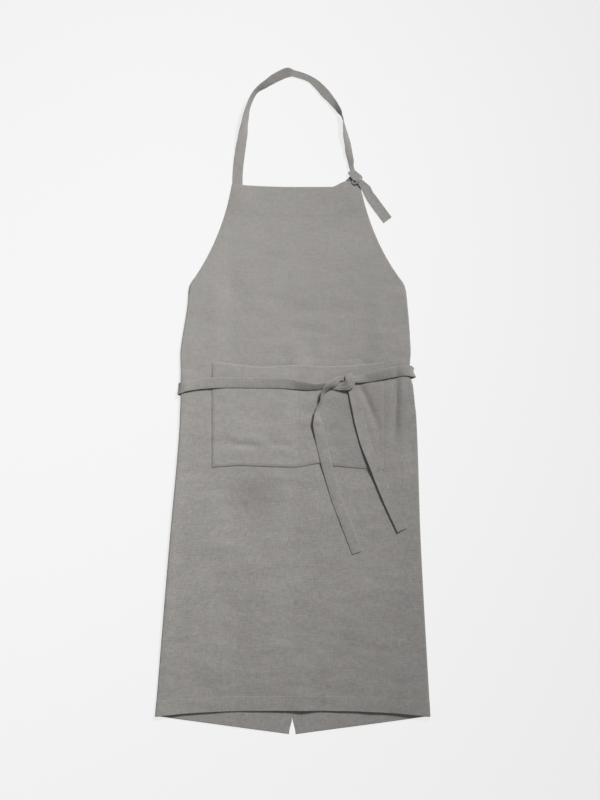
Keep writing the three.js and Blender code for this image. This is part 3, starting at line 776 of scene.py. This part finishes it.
# The patch pocket: one linen rectangle with its edges turned under and sewn on three sides, a deep hem at
# its mouth, and a seam down its middle that makes two pockets of it. It hangs a little slack.
POCKET_LINEN = 1.0
POCKET_EDGE_GAP = 0.6
POCKET_SEAM_GAP = 0.05
POCKET_BELLY = 1.4
POCKET_CLEARANCE = 0.1
POCKET_HEIGHT = POCKET_TOP - POCKET_BOTTOM
POCKET_HEM = 24
POCKET_TURNING = 7
POCKET_SEAM_INSETS = (1.8, POCKET_TURNING - 1)
SEAM_POINTS_ACROSS = 200
SEAM_POINTS_DOWN = 120
EDGE_PRESS = 0.72
EDGE_PRESS_WIDTH = 2.4
DIVIDER_DIP = 0.4
DIVIDER_SEAM_WIDTH = 1.6
FOLDS_AT_SEAM = 0.4
POCKET_ROWS = 96
POCKET_COLUMNS = 150
POCKET_SHADE = 1.02

# How far down the apron the mouth counts as lying, for the pocket's weave and its painted shade: one soft
# round area on the right, dimmed for the shade of the cloth's form there.
POCKET_WEAVE_DROP = 300
POCKET_PAINTED_SHADE = [(142, 400, 150, 0.86)]

# Where the mouth and the lower edge run, and the pocket's own folds, with the columns of the creases.
POCKET_RIM = np.array(
    [
        (POCKET_LEFT, 79, -121.8),
        (-104.5, 74, -118.2),
        (-57, 69.5, -119.5),
        (POCKET_DIVIDER, 73, -120.7),
        (49, 70.5, -114.4),
        (78, 70.5, -118.8),
        (140.5, 75, -124.5),
        (POCKET_RIGHT, 79, -126.4),
    ],
    dtype=[("x", float), ("top", float), ("bottom", float)],
)
POCKET_FOLDS = np.array(
    [
        (128, 38, 168, -54, -3.2, 7),
        (-118, -77, -64, -81, -1.3, 7),
        (-42, -76, 4, -82, -1.1, 7),
        (-140, -40, -110, -95, -0.6, 14),
        (60, -50, 100, -95, -0.7, 14),
    ],
    dtype=CREASES.dtype,
)


def pocket_middle(x, down):
    """A place on the middle of the pocket's cloth. Down is measured from its mouth on the flat cut: close to
    the front at the stitched edges, with a slight belly and its own folds inside, and nowhere so low that it
    meets the front's upper face."""
    top = through(POCKET_RIM, "x", "top", x)
    bottom = through(POCKET_RIM, "x", "bottom", x)
    y = top - (top - bottom) * down / POCKET_HEIGHT
    inside = inside_pocket(x, y)
    folds = sum(crease(x, y, *row) for row in POCKET_FOLDS)
    from_seam = np.minimum(np.minimum(x - POCKET_LEFT, POCKET_RIGHT - x), y - bottom)
    gap = POCKET_SEAM_GAP + (POCKET_EDGE_GAP - POCKET_SEAM_GAP) * eased(from_seam, 0, POCKET_TURNING)
    seat = front_base(y) + LINEN / 2 + gap + POCKET_LINEN / 2 + cloth_marks(x, y)
    height = seat + POCKET_BELLY * inside + folds * np.minimum(1, inside + FOLDS_AT_SEAM)
    lowest = front_height(x, y) + (LINEN + pocket_thickness(x, down)) / 2 + POCKET_CLEARANCE
    return np.stack([x, y, np.maximum(height, lowest)], -1)


def pocket_thickness(x, down):
    """One layer, more over the turned edges and the mouth's hem, less in a bell curve along the divider's
    seam, and pressed thin in a bell curve toward the three sewn edges."""
    below = POCKET_HEIGHT - down
    hems = [(down, POCKET_HEM), (below, POCKET_TURNING), (x - POCKET_LEFT, POCKET_TURNING)]
    hems.append((POCKET_RIGHT - x, POCKET_TURNING))
    layers = 0
    for inset, depth in hems:
        layers = np.maximum(layers, 1 - eased(inset, depth - HEM_STEP, depth + HEM_STEP))
    divider = np.exp(-(((x - POCKET_DIVIDER) / DIVIDER_SEAM_WIDTH) ** 2))
    to_edge = np.minimum(np.minimum(x - POCKET_LEFT, POCKET_RIGHT - x), below)
    pressed = 1 - EDGE_PRESS * np.exp(-((to_edge / EDGE_PRESS_WIDTH) ** 2))
    return (POCKET_LINEN + PRESSED_LAYERS * layers - DIVIDER_DIP * divider) * pressed


pocket_x = np.linspace(POCKET_LEFT, POCKET_RIGHT, POCKET_COLUMNS + 1)
pocket_x = np.unique(np.round(np.concatenate([pocket_x, POCKET_DIVIDER + ROW_INSETS]), 2))[None, :]
pocket_down = np.linspace(0, POCKET_HEIGHT, POCKET_ROWS + 1)[:, None]
pocket_across = pocket_x + 0 * pocket_down
pocket_drop = pocket_down + 0 * pocket_x
pocket_points, pocket_faces, pocket_edge = cloth_wall(
    pocket_middle(pocket_across, pocket_drop), pocket_thickness(pocket_across, pocket_drop)
)
pocket_flat = np.stack([pocket_across.ravel(), pocket_drop.ravel() + POCKET_WEAVE_DROP], 1)
pocket = add_piece(
    "pocket_cloth",
    pocket_points,
    pocket_faces,
    np.concatenate([pocket_flat, pocket_flat, pocket_flat[pocket_edge]]),
    linen("linen_pocket", POCKET_SHADE, painted_shade_spots=POCKET_PAINTED_SHADE),
)
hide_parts("pocket")


def pocket_seams():
    """The pocket's stitch lines: twice round its three sewn sides, across its hem, and down its middle."""

    def seam_across(left, right, down):
        """A level line between two places across."""
        run = np.linspace(left, right, SEAM_POINTS_ACROSS)
        return seam_on(pocket_middle, pocket_thickness, run, 0 * run + down)

    def seam_down(x, low):
        """An upright line from the mouth to a low end."""
        run = np.linspace(0, low, SEAM_POINTS_DOWN)
        return seam_on(pocket_middle, pocket_thickness, 0 * run + x, run)

    rows = []
    for inset in POCKET_SEAM_INSETS:
        left = POCKET_LEFT + inset
        right = POCKET_RIGHT - inset
        low = POCKET_HEIGHT - inset
        rows += [seam_down(left, low), seam_down(right, low), seam_across(left, right, low)]
    hem_ends = (POCKET_LEFT + POCKET_TURNING, POCKET_RIGHT - POCKET_TURNING)
    rows.append(seam_across(*hem_ends, POCKET_HEM - SEAM_INSET))
    rows.append(seam_down(POCKET_DIVIDER, POCKET_HEIGHT))
    return rows


pocket_seam = sew("pocket_seams", pocket_seams(), seam_thread)

# The neck strap: a strip of the same linen folded lengthwise in four and edge-stitched. It is sewn under the
# left bib corner, stands on its edge in places where it turns over the neck, and is knotted through the loop
# at the right corner, with a free end past the knot.
TAPE = 1.6
KNOTTED_TAPE = 2.4
STRAP_WIDTH = 19.5

# A row of a route holds the middle's place, the tape's width, its tip out of level in degrees, its thickness,
# and whether it keeps its last direction there.
ROUTE = [(name, float) for name in ("x", "y", "z", "width", "tip", "thick", "hold")]
NECK_STRAP = np.array(
    [
        (-104, 385, 0.8, STRAP_WIDTH, 0, TAPE, 0),
        (-104, 417, 0.8, STRAP_WIDTH, 0, TAPE, 0),
        (-103, 444, 0.8, STRAP_WIDTH, 0, TAPE, 0),
        (-99, 478, 2.5, STRAP_WIDTH, 10, TAPE, 0),
        (-94, 508, 5.5, STRAP_WIDTH, 28, TAPE, 0),
        (-89.5, 537, 9, STRAP_WIDTH, 54, TAPE, 0),
        (-82, 568, 10, STRAP_WIDTH, 70, TAPE, 0),
        (-68.5, 593.5, 10.4, STRAP_WIDTH, 72, TAPE, 0),
        (-49, 608, 9.2, STRAP_WIDTH, 54, TAPE, 0),
        (-35.5, 617, 7.6, STRAP_WIDTH, 40, TAPE, 0),
        (-22.5, 624, 6.2, STRAP_WIDTH, 33, TAPE, 0),
        (-9, 629.5, 5.6, STRAP_WIDTH, 28, TAPE, 0),
        (4, 628, 3.4, 12.5, 4, TAPE, 0),
        (33, 618, 3, 12, 4, TAPE, 0),
        (47.5, 607, 3.6, 15, 5, TAPE, 0),
        (62.5, 591, 4.4, 17, 7, TAPE, 0),
        (76, 575.5, 5.6, 14, 12, TAPE, 0),
        (87.5, 560, 8.2, 12, 38, TAPE, 0),
        (96, 544, 9, 13, 86, TAPE, 0),
        (100, 523.5, 8.6, 14.5, 111, TAPE, 0),
        (102.6, 508, 7.5, 13.5, 137, TAPE, 0),
        (106, 493, 6.8, 12.5, 162, TAPE, 0),
        (108, 478, 6.8, 13, 180, TAPE, 0),
        (111.5, 462.5, 6.6, 12, 192, TAPE, 0),
        (113, 450, 5.2, 9, 180, TAPE, 0),
        (116.8, 442, 4.4, 7.5, 180, TAPE, 0),
        (127, 434.5, 4.2, 5.5, 180, TAPE, 0),
        (131.2, 429.6, 6.2, 5.5, 180, TAPE, 0),
        (130.6, 427.2, 8.6, 5.5, 180, TAPE, 0),
        (127.5, 424.2, 9.8, 5.5, 180, TAPE, 0),
        (123.4, 420.4, 8.8, 5.5, 180, TAPE, 0),
        (118.4, 418.4, 5.8, 4.4, 180, TAPE, 0),
        (114.3, 421.6, 4.6, 3, 180, TAPE, 0),
        (113.6, 424, 1.3, 2.6, 180, TAPE, 0),
        (114.8, 429, 1.1, 6, 180, TAPE, 0),
        (114.6, 433.6, 1.4, 8, 180, TAPE, 0),
        (112.8, 437.4, 2.6, 9, 180, TAPE, 0),
        (109.6, 440.4, 5.2, 8, 180, TAPE, 1),
        (113.2, 439.2, 7.6, 13, 180, TAPE, 0),
        (119.8, 431.9, 8, 16, 180, TAPE, 0),
        (127.4, 424.2, 7.4, 9.5, 180, TAPE, 0),
        (133.4, 417.2, 5.6, 13.5, 180, TAPE, 0),
        (141.9, 407.5, 4, 17.4, 180, TAPE, 0),
        (145.9, 399, 3.2, 17.4, 180, TAPE, 0),
        (154, 387, 2.2, STRAP_WIDTH, 180, TAPE, 0),
        (182, 349, 1.2, STRAP_WIDTH, 180, TAPE, 0),
    ],
    dtype=ROUTE,
)
TAPE_STEP = 2.2
LEAST_TAPE_STEPS = 4
LAID_HEIGHT = (6, 9)
HALF_ACROSS = np.array([0.25, 0.5, 0.7, 0.8, 0.87, 0.94, 0.985, 1])
TAPE_ACROSS = np.concatenate([-HALF_ACROSS[::-1], [0], HALF_ACROSS])
EDGE_ROUNDING = 14
TAPE_SEAM = 0.8
TAPE_SEAM_DIP = 0.22
TAPE_SEAM_WIDTH = 0.06
TAPE_CRINKLE = 0.24
TAPE_CRINKLE_LENGTH = (11, 9)
TAPE_CRINKLE_SEED = 4
STILL_EDGE_POWER = 4
TAPE_CUP = 0.7
MOST_SQUEEZE = 0.7
KNOT_PLEAT = 0.5
KNOT_PLEAT_TURN = 2.5 * math.pi
KNOT_GATHER = 0.9


def tape_line(route):
    """Carries a tape along its route: a smooth centripetal line through the rows' places, with its other
    columns eased from row to row. On the front the line follows the cloth's marks. The tape lies square to
    the line in plan, turned about it by the tip, and no lower than the floor. Gives the middle, the ways
    across and out of the tape, half its width and thickness, and the run along it."""
    last = len(route) - 1
    across = []
    for i in range(last + 1):
        a, b = route[max(0, i - 1)], route[min(last, i + 1)]
        square = math.atan2(b["y"] - a["y"], b["x"] - a["x"]) + math.pi / 2
        before = across[-1] if across else square
        turned = square + math.pi * round((before - square) / math.pi)
        across.append(before if route["hold"][i] else turned)
    rows = np.stack([route["x"], route["y"], route["z"]], 1)
    padded = np.concatenate([[2 * rows[0] - rows[1]], rows, [2 * rows[-1] - rows[-2]]])
    lengths = np.linalg.norm(np.diff(padded, axis=0), axis=1)
    counts = np.maximum(LEAST_TAPE_STEPS, np.ceil(lengths[1:-1] / TAPE_STEP)).astype(int)
    segment = np.append(np.repeat(np.arange(last), counts), last - 1)
    start = np.repeat(np.cumsum(counts) - counts, counts)
    share = np.append((np.arange(counts.sum()) - start) / np.repeat(counts, counts), 1.0)[:, None]
    gap0, gap1, gap2 = (np.sqrt(lengths)[segment + k][:, None] for k in range(3))
    p0, p1, p2, p3 = (padded[segment + k] for k in range(4))
    leave = ((p1 - p0) / gap0 - (p2 - p0) / (gap0 + gap1) + (p2 - p1) / gap1) * gap1
    arrive = ((p2 - p1) / gap1 - (p3 - p1) / (gap1 + gap2) + (p3 - p2) / gap2) * gap1
    square, cube = share**2, share**3
    middle = p1 * (2 * cube - 3 * square + 1) + p2 * (3 * square - 2 * cube)
    middle = middle + leave * (cube - 2 * square + share) + arrive * (cube - square)
    laid = eased(middle[:, 2], *LAID_HEIGHT) * (middle[:, 1] < BIB_TOP - RISE_END_DROP)
    middle[:, 2] += laid * cloth_marks(middle[:, 0], middle[:, 1])
    mix = eased(share[:, 0], 0, 1)

    def value(column):
        """A column of the route, eased between the two rows of each segment."""
        return column[segment] * (1 - mix) + column[segment + 1] * mix

    angle = value(np.array(across))
    tip = np.radians(value(route["tip"]))[:, None]
    along = np.gradient(middle, axis=0)
    along = along / np.linalg.norm(along, axis=1, keepdims=True)
    level = np.stack([np.cos(angle), np.sin(angle), 0 * angle], 1)
    level = level - along * np.sum(level * along, axis=1, keepdims=True)
    level = level / np.linalg.norm(level, axis=1, keepdims=True)
    wide = level * np.cos(tip) + np.cross(along, level) * np.sin(tip)
    out = np.cross(along, wide)
    half_width = value(route["width"]) / 2
    half_thick = value(route["thick"]) / 2
    lowest = np.abs(wide[:, 2]) * half_width + np.abs(out[:, 2]) * half_thick
    middle[:, 2] = np.maximum(middle[:, 2], lowest)
    run = np.concatenate([[0], np.cumsum(np.linalg.norm(np.diff(middle, axis=0), axis=1))])
    return middle, wide, out, half_width, half_thick, run


def tape_face(line, across, face, full_width):
    """Places on a tape at shares across it, on its upper face (1) or its lower one (-1). Half the thickness
    falls to nothing at the rounded edges and dips at both seams. The whole tape is a little crinkled, cupped
    by the square of the share, and pleated lengthwise by a cosine where a knot squeezes it narrow or makes
    it thick. Nothing goes under the floor."""
    middle, wide, out, half_width, half_thick, run = (part[:, None] for part in line)
    share = across[None, :]
    rounded = np.sqrt(1 - np.abs(share) ** EDGE_ROUNDING)
    dip = 1 - TAPE_SEAM_DIP * np.exp(-(((np.abs(share) - TAPE_SEAM) / TAPE_SEAM_WIDTH) ** 2))
    squeeze = np.clip(1 - 2 * half_width / full_width, 0, MOST_SQUEEZE)
    squeeze = np.maximum(squeeze, KNOT_GATHER * (2 * half_thick - TAPE) / (KNOTTED_TAPE - TAPE))
    lattice = (*TAPE_CRINKLE_LENGTH, TAPE_CRINKLE_SEED)
    crinkle = TAPE_CRINKLE * hills(run + 0 * share, share * half_width, *lattice)
    crinkle = crinkle + KNOT_PLEAT * squeeze * np.cos(KNOT_PLEAT_TURN * share)
    crinkle = crinkle * (1 - np.abs(share) ** STILL_EDGE_POWER)
    cup = TAPE_CUP * share**2 * half_width / full_width
    height = face * half_thick * rounded * dip + crinkle + cup
    places = middle + wide * (half_width * share)[..., None] + out * height[..., None]
    places[..., 2] = np.maximum(places[..., 2], 0)
    return places


def tape_mesh(line, full_width):
    """Closes a tape: each ring goes over its upper face and back under its lower one, and each end is one
    flat face."""
    upper = tape_face(line, TAPE_ACROSS, 1, full_width)
    lower = tape_face(line, TAPE_ACROSS[-2:0:-1], -1, full_width)
    rings = np.concatenate([upper, lower], axis=1)
    shares = np.concatenate([TAPE_ACROSS, TAPE_ACROSS[-2:0:-1]])
    count, around = rings.shape[:2]
    number = np.arange(count * around).reshape(count, around)
    after = np.roll(number, -1, axis=1)
    sides = np.stack([number[:-1], number[1:], after[1:], after[:-1]], -1).reshape(-1, 4)
    run = line[-1][:, None]
    flat_across = shares[None, :] * full_width / 2 + 0 * run
    flat = np.stack([flat_across, run + 0 * flat_across], -1).reshape(-1, 2)
    faces = sides.tolist() + [number[0].tolist(), number[-1][::-1].tolist()]
    return rings.reshape(-1, 3), faces, flat


def tape_seams(line, full_width):
    """Edge stitching down both sides of a tape, on both of its faces."""
    _, _, out, _, _, run = line
    at = np.arange(STITCH_PITCH, run[-1] - STITCH_PITCH, STITCH_PITCH)
    rows = []
    for face in (1, -1):
        for edge in (-TAPE_SEAM, TAPE_SEAM):
            path = tape_face(line, np.array([edge]), face, full_width)[:, 0]
            places = np.stack([np.interp(at, run, path[:, k]) for k in range(3)], 1)
            ups = np.stack([np.interp(at, run, face * out[:, k]) for k in range(3)], 1)
            ups = ups / np.linalg.norm(ups, axis=1, keepdims=True)
            rows.append((places, np.gradient(places, axis=0), ups))
    return rows


def add_tape(name, node, route, full_width, material):
    """Makes a tape and its seams from a route, in place of a CAD node."""
    line = tape_line(route)
    points, faces, flat = tape_mesh(line, full_width)
    tape = add_piece(name, points, faces, flat, material)
    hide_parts(node)
    length = line[-1][-1]
    length * MM
    seams = sew(name + "_seams", tape_seams(line, full_width), seam_thread)


tape_linen = linen("linen_tape", tape_width=STRAP_WIDTH)
add_tape("neck_strap_tape", "neck_strap", NECK_STRAP, STRAP_WIDTH, tape_linen)

# The neck loop: a short narrow tape bent into an arch, with both ends sewn under the right bib corner. It
# holds the strap's knot. Its cut is stated as 10 mm wide, the narrowest that a sheet may be, though the tape
# is narrower.
LOOP_WIDTH = 7
LOOP_BASE_WIDTH = 10.5
LOOP_TAPE = 1.2
NECK_LOOP = np.array(
    [
        (104.4, 390, 0.6, LOOP_WIDTH, 0, LOOP_TAPE, 0),
        (104.6, 406, 0.6, LOOP_WIDTH, 0, LOOP_TAPE, 0),
        (106.6, 422.2, 0.6, LOOP_BASE_WIDTH, 0, LOOP_TAPE, 0),
        (108.6, 425.4, 2.6, LOOP_WIDTH, 0, LOOP_TAPE, 0),
        (113.8, 429.6, 3.2, LOOP_WIDTH, 0, LOOP_TAPE, 0),
        (118.9, 425.4, 2.6, LOOP_WIDTH, 0, LOOP_TAPE, 0),
        (120, 421.6, 0.6, LOOP_BASE_WIDTH, 0, LOOP_TAPE, 0),
        (122, 406, 0.6, LOOP_WIDTH, 0, LOOP_TAPE, 0),
        (122.2, 390, 0.6, LOOP_WIDTH, 0, LOOP_TAPE, 0),
    ],
    dtype=ROUTE,
)
add_tape("neck_loop_tape", "neck_loop", NECK_LOOP, LOOP_WIDTH, tape_linen)

# The waist ties: two long strips made like the strap, sewn to the back panels' edges. Each goes under the
# other panel and round the side to the front, where they are tied in a half knot and hang down in two ends.
TIE_WIDTH = 20.5
# Painted shade: each tie's linen is toned below the body's, the left more than the right, for the shade of
# the ties where they tilt away from the light.
LEFT_TIE_PAINTED_SHADE = 0.92
RIGHT_TIE_PAINTED_SHADE = 0.95

# Heights of a tie's middle where it lies on the front and on the pocket.
ON_FRONT = 9.9
ON_POCKET = 13.1
WAIST_TIE_LEFT = np.array(
    [
        (35, 36, 0.8, TIE_WIDTH, 0, TAPE, 0),
        (-60, 34, 0.8, TIE_WIDTH, 0, TAPE, 0),
        (-150, 27, 0.8, TIE_WIDTH, 0, TAPE, 0),
        (-206, 23.4, 0.8, TIE_WIDTH, 0, TAPE, 0),
        (-213.4, 25.9, 2.4, TIE_WIDTH, -6, TAPE, 1),
        (-215.4, 27.4, 5.35, TIE_WIDTH, -8, TAPE, 1),
        (-213.2, 28.9, 8.9, TIE_WIDTH, -6, TAPE, 1),
        (-205, 32.2, ON_FRONT + 1.9, TIE_WIDTH, -4, TAPE, 0),
        (-178, 37, ON_FRONT + 2.2, TIE_WIDTH, -5, TAPE, 0),
        (-150, 39, ON_POCKET, TIE_WIDTH, 0, TAPE, 0),
        (-122, 40, ON_POCKET + 0.2, TIE_WIDTH, 2, TAPE, 0),
        (-85, 39.5, ON_POCKET + 0.9, TIE_WIDTH, 4, TAPE, 0),
        (-13, 38, ON_POCKET + 1.3, TIE_WIDTH, 8, TAPE, 0),
        (22, 33.5, ON_POCKET + 3.2, 17, 24, TAPE, 0),
        (42, 31.5, ON_POCKET + 3.3, 14, 30, TAPE, 0),
        (62, 33.5, ON_POCKET + 2.8, 12.5, 28, TAPE, 0),
        (77, 33, ON_POCKET + 2, 13, 14, TAPE, 0),
        (92, 32.5, ON_POCKET + 3.2, 15, 0, KNOTTED_TAPE, 0),
        (105.5, 35.5, ON_POCKET + 8.4, 20, 0, KNOTTED_TAPE, 0),
        (110.5, 43, ON_POCKET + 9.8, 20, 0, KNOTTED_TAPE, 0),
        (108.6, 51, ON_POCKET + 9.6, 16.5, 0, KNOTTED_TAPE, 0),
        (108.3, 55, ON_POCKET + 8, 14, 0, KNOTTED_TAPE, 1),
        (108.3, 56, ON_POCKET + 4.6, 13, 0, KNOTTED_TAPE, 1),
        (109, 52.5, ON_POCKET + 1.4, 12, 0, KNOTTED_TAPE, 1),
        (109.5, 45, ON_POCKET + 1, 11, 0, KNOTTED_TAPE, 0),
        (111, 34, ON_POCKET + 1, 11, 0, TAPE, 0),
        (114, 22, ON_POCKET + 1.6, 14, -3, TAPE, 0),
        (120, 5, ON_POCKET + 1.6, 19, -4, TAPE, 0),
        (129, -35, ON_POCKET + 1.1, TIE_WIDTH, -7, TAPE, 0),
        (140.5, -77, ON_POCKET + 1, TIE_WIDTH, -7, TAPE, 0),
        (155, -113, ON_POCKET + 0.8, TIE_WIDTH, -7, TAPE, 0),
        (168.5, -148, ON_FRONT + 2.1, TIE_WIDTH, -7, TAPE, 0),
        (185.5, -189, ON_FRONT + 1.2, TIE_WIDTH, -7, TAPE, 0),
        (209.5, -240.5, ON_FRONT + 0.9, TIE_WIDTH, -5, TAPE, 0),
    ],
    dtype=ROUTE,
)
WAIST_TIE_RIGHT = np.array(
    [
        (-35, 62, 0.8, TIE_WIDTH, 0, TAPE, 0),
        (60, 60, 0.8, TIE_WIDTH, 0, TAPE, 0),
        (150, 55, 0.8, TIE_WIDTH, 0, TAPE, 0),
        (222, 56, 0.8, TIE_WIDTH, 0, TAPE, 0),
        (228.6, 57.6, 2.4, TIE_WIDTH, 14, TAPE, 1),
        (230.6, 59, 5.35, TIE_WIDTH, 26, TAPE, 1),
        (228.8, 60.4, 9.2, TIE_WIDTH, 14, TAPE, 1),
        (220, 62.6, ON_FRONT + 1.4, TIE_WIDTH, -2, TAPE, 0),
        (202, 60.8, ON_FRONT + 3.4, TIE_WIDTH, -17, TAPE, 0),
        (169, 54.5, ON_POCKET + 3.4, TIE_WIDTH, -19, TAPE, 0),
        (148, 49.5, ON_POCKET + 3, 18, -18, TAPE, 0),
        (128, 46.5, ON_POCKET + 3, 14, 0, KNOTTED_TAPE, 0),
        (108, 46, ON_POCKET + 4.8, 11, 0, KNOTTED_TAPE, 0),
        (93, 48, ON_POCKET + 5.4, 10, -8, TAPE, 0),
        (80, 40, ON_POCKET + 9, 16, -28, TAPE, 0),
        (66.5, 29.5, ON_POCKET + 9.6, 19, -56, TAPE, 0),
        (59.5, 19, ON_POCKET + 6.4, 13, -58, TAPE, 0),
        (55, 3, ON_POCKET + 4.4, 8.5, -62, TAPE, 0),
        (49.5, -9, ON_POCKET + 4.2, 8.5, -60, TAPE, 0),
        (47.5, -22, ON_POCKET + 4.2, 13, -38, TAPE, 0),
        (49.5, -41, ON_POCKET + 2.4, TIE_WIDTH, -13, TAPE, 0),
        (56.5, -76, ON_POCKET, TIE_WIDTH, 0, TAPE, 0),
        (65, -113, ON_POCKET - 1, TIE_WIDTH, 0, TAPE, 0),
        (75, -148, ON_FRONT + 0.5, TIE_WIDTH, 0, TAPE, 0),
        (87, -187, ON_FRONT + 0.2, TIE_WIDTH, 0, TAPE, 0),
        (102, -226, ON_FRONT + 0.2, TIE_WIDTH, 0, TAPE, 0),
        (123.7, -283.5, ON_FRONT + 0.2, TIE_WIDTH, 0, TAPE, 0),
    ],
    dtype=ROUTE,
)
TIES = [("left", WAIST_TIE_LEFT, LEFT_TIE_PAINTED_SHADE), ("right", WAIST_TIE_RIGHT, RIGHT_TIE_PAINTED_SHADE)]
for hand, route, shade in TIES:
    node = "waist_tie_" + hand
    # Each tie's own copy of the linen carries its painted shade.
    tie_linen = linen("linen_tie_" + hand, shade, tape_width=TIE_WIDTH)
    add_tape(node + "_tape", node, route, TIE_WIDTH, tie_linen)
